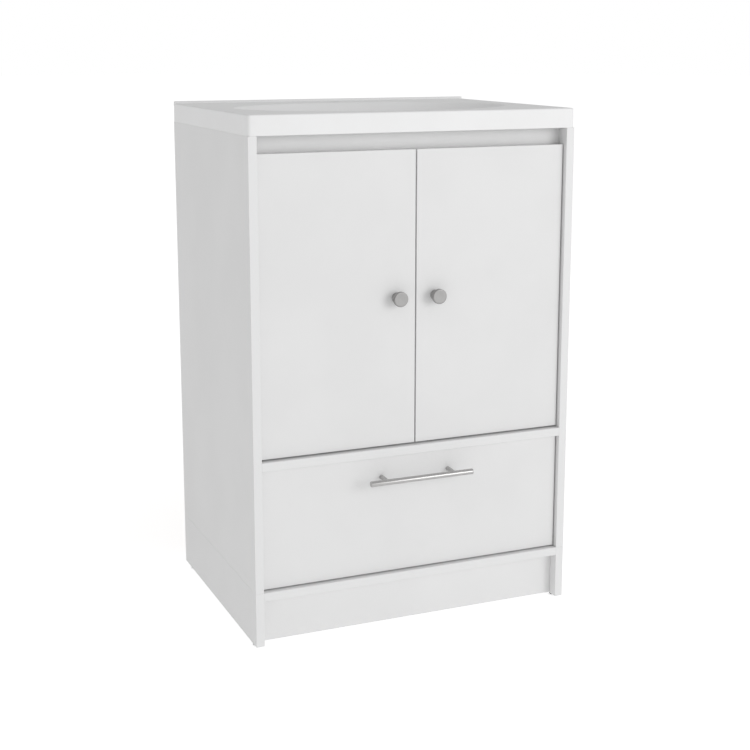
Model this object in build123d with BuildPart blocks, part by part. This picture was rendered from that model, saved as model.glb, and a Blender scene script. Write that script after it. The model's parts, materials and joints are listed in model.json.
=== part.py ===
from build123d import *

# Free-standing bathroom vanity cabinet with a one-piece sink top, two inset doors and one inset drawer.
# Frame: millimetres, +Z up, +X to the right of someone facing the doors, doors facing -Y.
# The origin lies on the floor, in the middle of the cabinet's whole width and depth.

import os

os.makedirs("parts", exist_ok=True)

# ---------------------------------------------------------------- driving dimensions
WIDTH = 600.0  # outside of one side panel to the outside of the other
SIDE_DEPTH = 450.0  # front edge to rear edge of a side panel
BOARD = 15.0  # melamine-faced board
BACK_SHEET = 3.0  # hardboard behind the cabinet and under the drawer
EDGE = 0.6  # rounding of a board's banded edges

GLIDE_HEIGHT = 3.0
BASE_HEIGHT = 96.5  # base side board
TOP_OF_SIDES = GLIDE_HEIGHT + 870.0
MIDDLE_SHELF_TOP = GLIDE_HEIGHT + 326.5
RAIL_HEIGHT = 60.0
PLINTH_LIFT = 1.5  # plinth boards stay this far above the side boards' bottom edges
PLINTH_SETBACK = 20.0

FRONT_RECESS = 9.3  # door and drawer faces behind the side panels' front edges
SIDE_GAP = 2.2
SHELF_GAP = 3.0
DRAWER_GAP = 2.5
MEETING_GAP = 2.5  # between the two doors
DOOR_TOP = GLIDE_HEIGHT + 840.5
RAIL_SETBACK = 28.5  # top front rail behind the side panels' front edges

PULL_LENGTH = 195.0
PULL_CENTRES = 128.0
PULL_BAR_R = 5.0
PULL_POST_R = 4.0
PULL_PROJECTION = 32.3  # drawer face to the bar's axis
PULL_BELOW_TOP = 35.5

KNOB_R = 13.0
KNOB_PROJECTION = 21.0
KNOB_FROM_EDGE = 35.0
KNOB_HEIGHT = GLIDE_HEIGHT + 589.0

SINK_HEIGHT = 34.0
SINK_WALL = 12.0  # deck and skirt
SINK_CORNER = 6.0
SINK_DRAFT = 0.8
RIDGE_HEIGHT = 4.0
RIDGE_DEPTH = 10.0
BOWL_WALL = 6.0
BOWL_HALF_X = 254.0
BOWL_HALF_Y = 164.0
BOWL_FROM_FRONT = 202.0  # cabinet front to the bowl's centre
TAP_HOLE_R = 17.5
TAP_FROM_FRONT = 405.0
DRAIN_R = 22.5

HINGE_HEIGHTS = (GLIDE_HEIGHT + 420.0, GLIDE_HEIGHT + 740.0)
CUP_R = 17.5
CUP_DEPTH = 11.5
CUP_FROM_EDGE = 22.5
HINGE_AXIS_FROM_EDGE = 8.0
HINGE_AXIS_FROM_FACE = 5.0

SLIDE_LENGTH = 400.0
SLIDE_SPACE = 12.7  # between the cabinet's side and the drawer's side
SLIDE_HEIGHT = 45.0
SLIDE_DROP = 29.0  # slide's middle below the drawer front's middle
SLIDE_ABOVE_BOX = 60.0  # slide's middle above the drawer box's lower edge
DRAWER_BOARD = 12.0
DRAWER_BOX_HEIGHT = 140.0
DRAWER_BOX_LENGTH = 400.0

# ---------------------------------------------------------------- places worked out from them
OUTER = WIDTH / 2
INNER = OUTER - BOARD
PULL_REACH = PULL_PROJECTION + PULL_BAR_R - FRONT_RECESS
DEPTH = PULL_REACH + SIDE_DEPTH + BACK_SHEET
FRONT = -DEPTH / 2 + PULL_REACH  # plane of the side panels' front edges
REAR = FRONT + SIDE_DEPTH
BACK = REAR + BACK_SHEET
BASE_TOP = GLIDE_HEIGHT + BASE_HEIGHT
FACE = FRONT + FRONT_RECESS  # outer face of the doors and the drawer
INSIDE_FACE = FACE + BOARD
PLINTH_BOTTOM = GLIDE_HEIGHT + PLINTH_LIFT
BOTTOM_SHELF_BOTTOM = BASE_TOP - BOARD
MIDDLE_SHELF_BOTTOM = MIDDLE_SHELF_TOP - BOARD
DOOR_BOTTOM = MIDDLE_SHELF_TOP + SHELF_GAP
DOOR_EDGE = INNER - SIDE_GAP
DRAWER_BOTTOM_EDGE = BASE_TOP + DRAWER_GAP
DRAWER_TOP_EDGE = MIDDLE_SHELF_BOTTOM - DRAWER_GAP
SLIDE_Z = (DRAWER_BOTTOM_EDGE + DRAWER_TOP_EDGE) / 2 - SLIDE_DROP
DRAWER_OUTER = INNER - SLIDE_SPACE
DRAWER_INNER = DRAWER_OUTER - DRAWER_BOARD
DRAWER_BOX_Z = SLIDE_Z - SLIDE_ABOVE_BOX
DRAWER_BACK_Y = INSIDE_FACE + DRAWER_BOX_LENGTH - DRAWER_BOARD
DRAWER_BACK_MIDDLE = DRAWER_BACK_Y + DRAWER_BOARD / 2

# fasteners: each hole is a little wider than what it holds
CAM_R = 7.4
CAM_FROM_END = 34.0
CAM_DEPTH = 12.2
DRAWER_CAM_DEPTH = 9.2
BOLT_R = 3.0
BOLT_IN_SIDE = 10.0
BOLT_IN_BOARD = CAM_FROM_END - CAM_R - 0.3
DOWEL_R = 4.0
DOWEL_IN_SIDE = 10.0
DOWEL_IN_BOARD = 20.0
SCREW_R = 1.75
SCREW_HEAD = (3.4, 1.6)  # radius and height
PEG_EDGE = 0.5
STACK_DOWEL = 15.0  # in each of the two side boards
HOLE_ROOM = 0.05
LOOSE_ROOM = 0.25  # round a screw that passes through a board
DEPTH_ROOM = 0.3


def middle(limits):
    """Halfway between two limits."""
    return (limits[0] + limits[1]) / 2


def side_plane(x_sign, x, y, z):
    """A plane whose normal points along x_sign times +X."""
    return Plane(origin=(x, y, z), x_dir=(0, 1, 0), z_dir=(x_sign, 0, 0))


def front_plane(y_sign, x, y, z):
    """A plane whose normal points along y_sign times +Y."""
    return Plane(origin=(x, y, z), x_dir=(1, 0, 0), z_dir=(0, y_sign, 0))


def upright_plane(z_sign, x, y, z):
    """A plane whose normal points along z_sign times +Z."""
    return Plane(origin=(x, y, z), x_dir=(1, 0, 0), z_dir=(0, 0, z_sign))


def board(across, along, up, drillings=()):
    """A rectangular board with eased edges and round drillings: (plane on its face, radius, depth)."""
    with BuildPart() as piece:
        with BuildSketch(Plane.XY.offset(up[0])):
            with Locations((middle(across), middle(along))):
                Rectangle(across[1] - across[0], along[1] - along[0])
        extrude(amount=up[1] - up[0])
        fillet(piece.edges(), EDGE)
        for plane, radius, depth in drillings:
            with BuildSketch(plane):
                Circle(radius)
            extrude(amount=-depth, mode=Mode.SUBTRACT)
    return piece


def pegs(stations, radius, inward, outward):
    """Plain pins, each running inward and outward from its plane."""
    with BuildPart() as group:
        for plane in stations:
            with BuildSketch(plane.offset(-inward)):
                Circle(radius)
            extrude(amount=inward + outward)
        chamfer(group.edges().filter_by(GeomType.CIRCLE), PEG_EDGE)
    return group


def screws(stations, length, radius=SCREW_R, head_radius=SCREW_HEAD[0], head_height=SCREW_HEAD[1]):
    """Pan-head screws: the head stands on its plane and the shank runs in behind it."""
    with BuildPart() as group:
        for plane in stations:
            with BuildSketch(plane):
                Circle(head_radius)
            extrude(amount=head_height)
            with BuildSketch(plane):
                Circle(radius)
            extrude(amount=-length)
        head_edges = group.edges().filter_by(GeomType.CIRCLE).filter_by(lambda edge: edge.radius > radius + 1)
        fillet(head_edges, PEG_EDGE)
    return group


def write(piece, node):
    """Labels a finished piece and writes its STEP file."""
    piece.part.label = node
    export_step(piece.part, f"parts/{node}.step")


def mirrored(piece):
    """The same piece for the other side of the cabinet."""
    with BuildPart() as twin:
        mirror(piece.part, about=Plane.YZ)
    return twin


# ---------------------------------------------------------------- carcass joints
SHELF_BOLTS_Y = (FRONT + 60.0, FRONT + 390.0)
SHELF_DOWELS_Y = (FRONT + 100.0, FRONT + 350.0)
FRONT_RAIL_Y = (FRONT + RAIL_SETBACK, FRONT + RAIL_SETBACK + BOARD)
REAR_RAIL_Y = (REAR - BOARD, REAR)
FRONT_PLINTH_Y = (FRONT + PLINTH_SETBACK, FRONT + PLINTH_SETBACK + BOARD)
REAR_PLINTH_Y = (REAR - 2 * BOARD, REAR - BOARD)
RAIL_Z = (TOP_OF_SIDES - RAIL_HEIGHT, TOP_OF_SIDES)
PLINTH_Z = (PLINTH_BOTTOM, BOTTOM_SHELF_BOTTOM)
BOTTOM_SHELF_Z = (BOTTOM_SHELF_BOTTOM, BASE_TOP)
MIDDLE_SHELF_Z = (MIDDLE_SHELF_BOTTOM, MIDDLE_SHELF_TOP)
RAIL_BOLT_Z = RAIL_Z[0] + 18.0
RAIL_DOWEL_Z = RAIL_Z[0] + 44.0
PLINTH_BOLT_Z = PLINTH_Z[0] + 25.0
PLINTH_DOWEL_Z = PLINTH_Z[0] + 58.0


def shelf_joint(up):
    """Bolt and dowel stations (y, z) and the cam face of a lying board."""
    z = middle(up)
    return {
        "bolts": [(y, z) for y in SHELF_BOLTS_Y],
        "dowels": [(y, z) for y in SHELF_DOWELS_Y],
        "cam": lambda x, y, _z: upright_plane(-1, x, y, up[0]),
    }


def upright_joint(along, bolt_z, dowel_z, cam_sign):
    """Bolt and dowel stations (y, z) and the cam face of a board on edge."""
    face = along[1] if cam_sign > 0 else along[0]
    return {
        "bolts": [(middle(along), bolt_z)],
        "dowels": [(middle(along), dowel_z)],
        "cam": lambda x, _y, z: front_plane(cam_sign, x, face, z),
    }


UPPER_JOINTS = {
    "middle_shelf": shelf_joint(MIDDLE_SHELF_Z),
    "top_rail_front": upright_joint(FRONT_RAIL_Y, RAIL_BOLT_Z, RAIL_DOWEL_Z, 1),
    "top_rail_rear": upright_joint(REAR_RAIL_Y, RAIL_BOLT_Z, RAIL_DOWEL_Z, -1),
}
BASE_JOINTS = {
    "bottom_shelf": shelf_joint(BOTTOM_SHELF_Z),
    "plinth_front": upright_joint(FRONT_PLINTH_Y, PLINTH_BOLT_Z, PLINTH_DOWEL_Z, 1),
    "plinth_rear": upright_joint(REAR_PLINTH_Y, PLINTH_BOLT_Z, PLINTH_DOWEL_Z, -1),
}
STACK_DOWELS_Y = (FRONT + 130.0, FRONT + 320.0)


def cross_drillings(joint):
    """Drillings in both ends of a board that spans between the sides, and its cam pockets."""
    found = []
    for sign in (-1, 1):
        for y, z in joint["bolts"]:
            found.append((side_plane(sign, sign * INNER, y, z), BOLT_R + HOLE_ROOM, CAM_FROM_END))
            pocket = joint["cam"](sign * (INNER - CAM_FROM_END), y, z)
            found.append((pocket, CAM_R + HOLE_ROOM, CAM_DEPTH + DEPTH_ROOM))
        for y, z in joint["dowels"]:
            hole = side_plane(sign, sign * INNER, y, z)
            found.append((hole, DOWEL_R + HOLE_ROOM, DOWEL_IN_BOARD + DEPTH_ROOM))
    return found


def side_drillings(joints):
    """Drillings in the inner face of the left side for all the boards that meet it."""
    found = []
    for joint in joints.values():
        for y, z in joint["bolts"]:
            found.append((side_plane(1, -INNER, y, z), BOLT_R + HOLE_ROOM, BOLT_IN_SIDE + DEPTH_ROOM))
        for y, z in joint["dowels"]:
            found.append((side_plane(1, -INNER, y, z), DOWEL_R + HOLE_ROOM, DOWEL_IN_SIDE + DEPTH_ROOM))
    return found


# ---------------------------------------------------------------- side panels
HINGE_SCREW_Y = FRONT + 61.0
HINGE_SCREW_Z = 16.0
HINGE_PLATE = 3.5
PLATE_SCREW_LENGTH = 12.0
PLATE_SCREW_HOLE = 9.0
plate_screw_stations = [
    side_plane(1, -INNER + HINGE_PLATE, HINGE_SCREW_Y, height + offset)
    for height in HINGE_HEIGHTS
    for offset in (-HINGE_SCREW_Z, HINGE_SCREW_Z)
]
plate_screw_holes = [
    (side_plane(1, -INNER, HINGE_SCREW_Y, height + offset), SCREW_R + HOLE_ROOM, PLATE_SCREW_HOLE)
    for height in HINGE_HEIGHTS
    for offset in (-HINGE_SCREW_Z, HINGE_SCREW_Z)
]

SLIDE_FRONT = INSIDE_FACE + 2.0  # the slides start just behind the drawer's front board
SLIDE_SHEET = 1.0
SLIDE_SCREWS_Y = tuple(SLIDE_FRONT + reach for reach in (37.0, 197.0, 357.0))
SLIDE_SCREW_LENGTH = 11.0
slide_screw_holes = [
    (side_plane(1, -INNER, y, SLIDE_Z), SCREW_R + HOLE_ROOM, SLIDE_SCREW_LENGTH) for y in SLIDE_SCREWS_Y
]

NAIL_R = 0.7
NAIL_HEAD_R = 1.5
NAIL_HEAD = 0.5
NAIL_LENGTH = 15.0
NAIL_COLUMN_X = OUTER - BOARD / 2
NAIL_PITCH_Z = 112.0
NAIL_PITCH_X = 140.0
NAILS_PER_SIDE = 7
LOWEST_SIDE_NAIL = BASE_TOP + 40.0
RAIL_NAIL_Z = RAIL_Z[0] + 12.0
nail_spots = [
    (sign * NAIL_COLUMN_X, LOWEST_SIDE_NAIL + step * NAIL_PITCH_Z)
    for sign in (-1, 1)
    for step in range(NAILS_PER_SIDE)
] + [
    (x, z)
    for z in (middle(BOTTOM_SHELF_Z), middle(MIDDLE_SHELF_Z), RAIL_NAIL_Z)
    for x in (-NAIL_PITCH_X, 0.0, NAIL_PITCH_X)
]
NAIL_HOLE = NAIL_LENGTH - BACK_SHEET + DEPTH_ROOM


def nail_holes(across, up):
    """Nail holes in the rear edge of a board that covers these limits."""
    return [
        (front_plane(1, x, REAR, z), NAIL_R + HOLE_ROOM, NAIL_HOLE)
        for x, z in nail_spots
        if across[0] < x < across[1] and up[0] < z < up[1]
    ]


side_across = (-OUTER, -INNER)
side_up = (BASE_TOP, TOP_OF_SIDES)
stack_holes_upper = [
    (upright_plane(-1, -OUTER + BOARD / 2, y, BASE_TOP), DOWEL_R + HOLE_ROOM, STACK_DOWEL + DEPTH_ROOM)
    for y in STACK_DOWELS_Y
]
side_panel_left = board(
    side_across,
    (FRONT, REAR),
    side_up,
    side_drillings(UPPER_JOINTS)
    + plate_screw_holes
    + slide_screw_holes
    + stack_holes_upper
    + nail_holes(side_across, side_up),
)
write(side_panel_left, "side_panel_left")
side_panel_right = mirrored(side_panel_left)
write(side_panel_right, "side_panel_right")

# ---------------------------------------------------------------- base
GLIDE_R = 7.0
GLIDE_PIN_R = 1.5
GLIDE_PIN = 14.0
GLIDE_EDGE = 1.0
GLIDES_Y = (FRONT + 20.0, FRONT + 411.0)
base_up = (GLIDE_HEIGHT, BASE_TOP)
stack_holes_lower = [
    (upright_plane(1, -OUTER + BOARD / 2, y, BASE_TOP), DOWEL_R + HOLE_ROOM, STACK_DOWEL + DEPTH_ROOM)
    for y in STACK_DOWELS_Y
]
glide_holes = [
    (upright_plane(-1, -OUTER + BOARD / 2, y, GLIDE_HEIGHT), GLIDE_PIN_R + HOLE_ROOM, GLIDE_PIN + DEPTH_ROOM)
    for y in GLIDES_Y
]
base_side_left = board(
    side_across, (FRONT, REAR), base_up, side_drillings(BASE_JOINTS) + stack_holes_lower + glide_holes
)
write(base_side_left, "base_side_left")
base_side_right = mirrored(base_side_left)
write(base_side_right, "base_side_right")

for side, sign in (("left", -1), ("right", 1)):
    for end, y in zip(("front", "rear"), GLIDES_Y):
        with BuildPart() as glide:
            with BuildSketch(Plane.XY):
                with Locations((sign * (OUTER - BOARD / 2), y)):
                    Circle(GLIDE_R)
            extrude(amount=GLIDE_HEIGHT)
            fillet(glide.edges().group_by(Axis.Z)[0], GLIDE_EDGE)
            with BuildSketch(Plane.XY.offset(GLIDE_HEIGHT)):
                with Locations((sign * (OUTER - BOARD / 2), y)):
                    Circle(GLIDE_PIN_R)
            extrude(amount=GLIDE_PIN)
        write(glide, f"glide_{side}_{end}")

# ---------------------------------------------------------------- boards between the sides
cross = (-INNER, INNER)
bottom_shelf = board(
    cross,
    (FRONT, REAR),
    BOTTOM_SHELF_Z,
    cross_drillings(BASE_JOINTS["bottom_shelf"]) + nail_holes(cross, BOTTOM_SHELF_Z),
)
write(bottom_shelf, "bottom_shelf")
middle_shelf = board(
    cross,
    (FRONT, REAR),
    MIDDLE_SHELF_Z,
    cross_drillings(UPPER_JOINTS["middle_shelf"]) + nail_holes(cross, MIDDLE_SHELF_Z),
)
write(middle_shelf, "middle_shelf")
plinth_front = board(cross, FRONT_PLINTH_Y, PLINTH_Z, cross_drillings(BASE_JOINTS["plinth_front"]))
write(plinth_front, "plinth_front")
plinth_rear = board(cross, REAR_PLINTH_Y, PLINTH_Z, cross_drillings(BASE_JOINTS["plinth_rear"]))
write(plinth_rear, "plinth_rear")
top_rail_front = board(cross, FRONT_RAIL_Y, RAIL_Z, cross_drillings(UPPER_JOINTS["top_rail_front"]))
write(top_rail_front, "top_rail_front")

WALL_HOLE_R = 3.0
WALL_HOLE_X = 200.0
WALL_HOLE_Z = middle(RAIL_Z)
wall_holes = [
    (front_plane(1, sign * WALL_HOLE_X, REAR, WALL_HOLE_Z), WALL_HOLE_R, BOARD) for sign in (-1, 1)
]
top_rail_rear = board(
    cross,
    REAR_RAIL_Y,
    RAIL_Z,
    cross_drillings(UPPER_JOINTS["top_rail_rear"]) + wall_holes + nail_holes(cross, RAIL_Z),
)
write(top_rail_rear, "top_rail_rear")

# ---------------------------------------------------------------- back panel
PIPE_OPENING = (260.0, 200.0)
PIPE_OPENING_Z = GLIDE_HEIGHT + 580.0
PIPE_OPENING_R = 12.0
BACK_MARGIN = 1.0
back_up = (BOTTOM_SHELF_BOTTOM + BACK_MARGIN, TOP_OF_SIDES - BACK_MARGIN)
with BuildPart() as back_panel:
    with BuildSketch(front_plane(1, 0, REAR, middle(back_up))):
        Rectangle(WIDTH - 2 * BACK_MARGIN, back_up[1] - back_up[0])
    extrude(amount=BACK_SHEET)
    with BuildSketch(front_plane(1, 0, REAR, PIPE_OPENING_Z)):
        RectangleRounded(*PIPE_OPENING, PIPE_OPENING_R)
    extrude(amount=BACK_SHEET, mode=Mode.SUBTRACT)
    for sign in (-1, 1):
        with BuildSketch(front_plane(1, sign * WALL_HOLE_X, REAR, WALL_HOLE_Z)):
            Circle(WALL_HOLE_R)
        extrude(amount=BACK_SHEET, mode=Mode.SUBTRACT)
    for x, z in nail_spots:
        with BuildSketch(front_plane(1, x, REAR, z)):
            Circle(NAIL_R + HOLE_ROOM)
        extrude(amount=BACK_SHEET, mode=Mode.SUBTRACT)
        with BuildSketch(front_plane(1, x, BACK, z)):
            Circle(NAIL_HEAD_R + HOLE_ROOM)
        extrude(amount=-NAIL_HEAD - HOLE_ROOM, mode=Mode.SUBTRACT)
write(back_panel, "back_panel")

with BuildPart() as back_nails:
    for x, z in nail_spots:
        with BuildSketch(front_plane(1, x, BACK, z)):
            Circle(NAIL_HEAD_R)
        extrude(amount=-NAIL_HEAD)
        with BuildSketch(front_plane(1, x, BACK, z)):
            Circle(NAIL_R)
        extrude(amount=-NAIL_LENGTH)
write(back_nails, "back_nails")

# ---------------------------------------------------------------- carcass fasteners
bolt_stations = []
dowel_stations = []
cam_stations = []
for joint in (*UPPER_JOINTS.values(), *BASE_JOINTS.values()):
    for sign in (-1, 1):
        for y, z in joint["bolts"]:
            bolt_stations.append(side_plane(sign, sign * INNER, y, z))
            cam_stations.append(joint["cam"](sign * (INNER - CAM_FROM_END), y, z))
        for y, z in joint["dowels"]:
            dowel_stations.append(side_plane(sign, sign * INNER, y, z))
stack_stations = [
    upright_plane(1, sign * (OUTER - BOARD / 2), y, BASE_TOP) for sign in (-1, 1) for y in STACK_DOWELS_Y
]

cam_bolts = pegs(bolt_stations, BOLT_R, BOLT_IN_BOARD, BOLT_IN_SIDE)
write(cam_bolts, "cam_bolts")
dowels = pegs(dowel_stations, DOWEL_R, DOWEL_IN_BOARD, DOWEL_IN_SIDE)
write(dowels, "dowels")
stack_dowels = pegs(stack_stations, DOWEL_R, STACK_DOWEL, STACK_DOWEL)
write(stack_dowels, "stack_dowels")


CROSS_SLOT = (8.0, 1.6)
CROSS_SLOT_DEPTH = 2.0


def cams(stations, depth):
    """Cam locks: flush discs with a cross for the screwdriver."""
    with BuildPart() as group:
        for plane in stations:
            with BuildSketch(plane):
                Circle(CAM_R)
            extrude(amount=-depth)
            with BuildSketch(plane):
                Rectangle(*CROSS_SLOT)
                Rectangle(*reversed(CROSS_SLOT))
            extrude(amount=-CROSS_SLOT_DEPTH, mode=Mode.SUBTRACT)
    return group


cam_locks = cams(cam_stations, CAM_DEPTH)
write(cam_locks, "cam_locks")

# ---------------------------------------------------------------- sink top
SINK_TOP = TOP_OF_SIDES + SINK_HEIGHT
SINK_Y = (FRONT, BACK)
BOWL_Y = FRONT + BOWL_FROM_FRONT
# depth below the deck, and how far the bowl's side has drawn in there, in x and in y
BOWL_SECTIONS = (
    (0.0, 0.0, 0.0),
    (34.0, 17.0, 15.0),
    (80.0, 38.0, 34.0),
    (112.0, 78.0, 62.0),
    (126.0, 140.0, 96.0),
)
BOWL_DEPTH = BOWL_SECTIONS[-1][0]
DRAIN_SEAT_R = 33.0
DRAIN_SEAT = 2.0
TOP_ROUND = 2.0
RIDGE_ROUND = 1.5
RIDGE_CORNER = 3.0
RIDGE_INSET = 1.0  # ridge's ends, inside the sink's ends
RIDGE_FROM_BACK = 0.5
SKIRT_INNER_CORNER = 4.0
RIM_ROUND = 5.0
SHORTEST_RIM_EDGE = 500.0


def on_bowl_rim(edge):
    """True for the bowl's mouth, which is long and centred on the bowl."""
    return edge.length > SHORTEST_RIM_EDGE and abs(edge.center().Y - BOWL_Y) < DRAIN_SEAT_R


with BuildPart() as bowl_space:
    for depth, in_x, in_y in BOWL_SECTIONS:
        with BuildSketch(Plane.XY.offset(SINK_TOP - depth)):
            with Locations((0, BOWL_Y)):
                Ellipse(BOWL_HALF_X - in_x, BOWL_HALF_Y - in_y)
    loft()

with BuildPart() as bowl_shell:
    for depth, in_x, in_y in BOWL_SECTIONS:
        drop = BOWL_WALL if depth == BOWL_DEPTH else 0.0
        with BuildSketch(Plane.XY.offset(SINK_TOP - depth - drop)):
            with Locations((0, BOWL_Y)):
                Ellipse(BOWL_HALF_X - in_x + BOWL_WALL, BOWL_HALF_Y - in_y + BOWL_WALL)
    loft()
    split(bisect_by=Plane.XY.offset(SINK_TOP - SINK_WALL / 2), keep=Keep.BOTTOM)

with BuildPart() as sink_top:
    with BuildSketch(Plane.XY.offset(TOP_OF_SIDES)):
        with Locations((0, middle(SINK_Y))):
            RectangleRounded(WIDTH, SINK_Y[1] - SINK_Y[0], SINK_CORNER)
    extrude(amount=SINK_HEIGHT, taper=SINK_DRAFT)
    fillet(sink_top.faces().sort_by(Axis.Z)[-1].edges(), TOP_ROUND)
    with BuildSketch(Plane.XY.offset(SINK_TOP - SINK_WALL)):
        with Locations((0, middle(SINK_Y))):
            RectangleRounded(WIDTH - 2 * SINK_WALL, SINK_Y[1] - SINK_Y[0] - 2 * SINK_WALL, SKIRT_INNER_CORNER)
    extrude(amount=-SINK_HEIGHT + SINK_WALL, mode=Mode.SUBTRACT)
    with BuildSketch(Plane.XY.offset(SINK_TOP - SINK_WALL / 2)):
        with Locations((0, BACK - RIDGE_DEPTH / 2 - RIDGE_FROM_BACK)):
            RectangleRounded(WIDTH - 2 * RIDGE_INSET, RIDGE_DEPTH, RIDGE_CORNER)
    extrude(amount=SINK_WALL / 2 + RIDGE_HEIGHT)
    fillet(sink_top.faces().sort_by(Axis.Z)[-1].edges(), RIDGE_ROUND)
    add(bowl_shell.part)
    add(bowl_space.part, mode=Mode.SUBTRACT)
    deck_edges = sink_top.edges().filter_by_position(Axis.Z, SINK_TOP - 0.01, SINK_TOP + 0.01)
    fillet(deck_edges.filter_by(on_bowl_rim), RIM_ROUND)
    with BuildSketch(Plane.XY.offset(SINK_TOP - BOWL_DEPTH)):
        with Locations((0, BOWL_Y)):
            Circle(DRAIN_SEAT_R)
    extrude(amount=-DRAIN_SEAT, mode=Mode.SUBTRACT)
    with BuildSketch(Plane.XY.offset(SINK_TOP - BOWL_DEPTH)):
        with Locations((0, BOWL_Y)):
            Circle(DRAIN_R)
    extrude(amount=-2 * BOWL_WALL, mode=Mode.SUBTRACT)
    with BuildSketch(Plane.XY.offset(SINK_TOP)):
        with Locations((0, FRONT + TAP_FROM_FRONT)):
            Circle(TAP_HOLE_R)
    extrude(amount=-2 * SINK_WALL, mode=Mode.SUBTRACT)
write(sink_top, "sink_top")

# ---------------------------------------------------------------- doors
DOOR_X = (-DOOR_EDGE, -MEETING_GAP / 2)
CUP_X = -DOOR_EDGE + CUP_FROM_EDGE
CUP_FLANGE = 1.2
CUP_SCREW_Z = 24.0
CUP_SCREW_LENGTH = 11.0
CUP_WING = (17.0, 60.0)
CUP_WING_X = 4.0  # wing's middle, from the cup's
CUP_SCREW_X = CUP_X + CUP_WING_X
CUP_WING_R = 6.0
CUP_LIP = 1.8  # flange beyond the cup, all round
KNOB_X = -MEETING_GAP / 2 - KNOB_FROM_EDGE
KNOB_SCREW_R = 2.0

cup_stations = [front_plane(1, CUP_X, INSIDE_FACE, height) for height in HINGE_HEIGHTS]
cup_screw_spots = [
    (CUP_SCREW_X, height + offset) for height in HINGE_HEIGHTS for offset in (-CUP_SCREW_Z, CUP_SCREW_Z)
]
door_drillings = [(plane, CUP_R + HOLE_ROOM, CUP_DEPTH + DEPTH_ROOM) for plane in cup_stations]
door_drillings += [
    (front_plane(1, x, INSIDE_FACE, z), SCREW_R + HOLE_ROOM, CUP_SCREW_LENGTH - CUP_FLANGE + DEPTH_ROOM)
    for x, z in cup_screw_spots
]
door_drillings += [(front_plane(1, KNOB_X, INSIDE_FACE, KNOB_HEIGHT), KNOB_SCREW_R + LOOSE_ROOM, BOARD)]
left_door = board(DOOR_X, (FACE, INSIDE_FACE), (DOOR_BOTTOM, DOOR_TOP), door_drillings)
write(left_door, "left_door")
right_door = mirrored(left_door)
write(right_door, "right_door")

# knob: turned profile, drawn as radius over the distance from the door's face
KNOB_FOOT_R = 9.0
KNOB_NECK_R = 5.5
KNOB_HEAD = 7.5
KNOB_BORE = 15.0
KNOB_FOOT = 1.5
KNOB_NECK_AT = 7.0
KNOB_EDGE = 1.5
KNOB_SHOULDER = 2.0
HANDLE_SCREW_HEAD = (4.0, 2.2)  # radius and height
SCREW_END_ROOM = 2.0
with BuildPart() as left_knob:
    with BuildSketch(Plane(origin=(KNOB_X, FACE, KNOB_HEIGHT), x_dir=(1, 0, 0), z_dir=(0, 0, 1))):
        with BuildLine():
            foot = Line((0, 0), (KNOB_FOOT_R, 0))
            foot_edge = Line(foot @ 1, (KNOB_FOOT_R, -KNOB_FOOT))
            neck = Spline(
                foot_edge @ 1,
                (KNOB_NECK_R, -KNOB_NECK_AT),
                (KNOB_R, -KNOB_PROJECTION + KNOB_HEAD - KNOB_SHOULDER),
                tangents=[(-1, -0.4), (1, -0.4)],
            )
            rim = Line(neck @ 1, (KNOB_R, -KNOB_PROJECTION + KNOB_EDGE))
            round_over = Line(rim @ 1, (KNOB_R - KNOB_EDGE, -KNOB_PROJECTION))
            face_line = Line(round_over @ 1, (0, -KNOB_PROJECTION))
            Line(face_line @ 1, (0, 0))
        make_face()
    revolve(axis=Axis((KNOB_X, FACE, KNOB_HEIGHT), (0, 1, 0)))
    with BuildSketch(front_plane(1, KNOB_X, FACE, KNOB_HEIGHT)):
        Circle(KNOB_SCREW_R + HOLE_ROOM)
    extrude(amount=-KNOB_BORE, mode=Mode.SUBTRACT)
write(left_knob, "left_knob")
right_knob = mirrored(left_knob)
write(right_knob, "right_knob")

knob_screw_left = screws(
    [front_plane(1, KNOB_X, INSIDE_FACE, KNOB_HEIGHT)],
    BOARD + KNOB_BORE - SCREW_END_ROOM,
    KNOB_SCREW_R,
    *HANDLE_SCREW_HEAD,
)
write(knob_screw_left, "knob_screw_left")
knob_screw_right = mirrored(knob_screw_left)
write(knob_screw_right, "knob_screw_right")

# ---------------------------------------------------------------- hinges
CUP_SHELL = 1.2
CUP_PIN_FROM_EDGE = 14.8
CUP_PIN_FROM_FACE = 9.7
CUP_PIN_X = -DOOR_EDGE + CUP_PIN_FROM_EDGE
CUP_PIN_Y = FACE + CUP_PIN_FROM_FACE
CUP_PIN_R = 1.25
CUP_PIN_HALF = 15.2
LINK_THICK = 2.0
LINK_HALF_WIDTH = 4.5
LINK_EYE_R = 2.6
LINK_CROOK = 10.5  # how far the link leans round the door's edge
LINK_NECK = 20.0
LINK_TAIL = 11.0
LINK_BEND_R = 2.5
PIN_ROOM = 0.06
ARM_SHEET = 1.2
ARM_CLEAR = 1.5  # each side of the link
ARM_RISE = 18.7  # plate to the outside of the arm's web
ARM_Y = (FRONT + 28.5, FRONT + 88.0)
ARM_WEB_Y = FRONT + 42.0
ARM_SCREW_Y = FRONT + 72.0
PLATE_X = -INNER + HINGE_PLATE
PLATE_WING = (14.0, 44.0)
PLATE_WING_R = 6.0
PLATE_BODY = (54.0, 17.0)
PLATE_BODY_R = 3.0
PLATE_RIDGE = 4.5  # height of the ridge that the arm's screw bites into
PLATE_RIDGE_Y = (ARM_WEB_Y + 14.0, ARM_Y[1] - 3.0)
ARM_SCREW_HEAD = (4.2, 1.8)  # radius and height
ARM_HALF = LINK_HALF_WIDTH + ARM_CLEAR + ARM_SHEET

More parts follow.
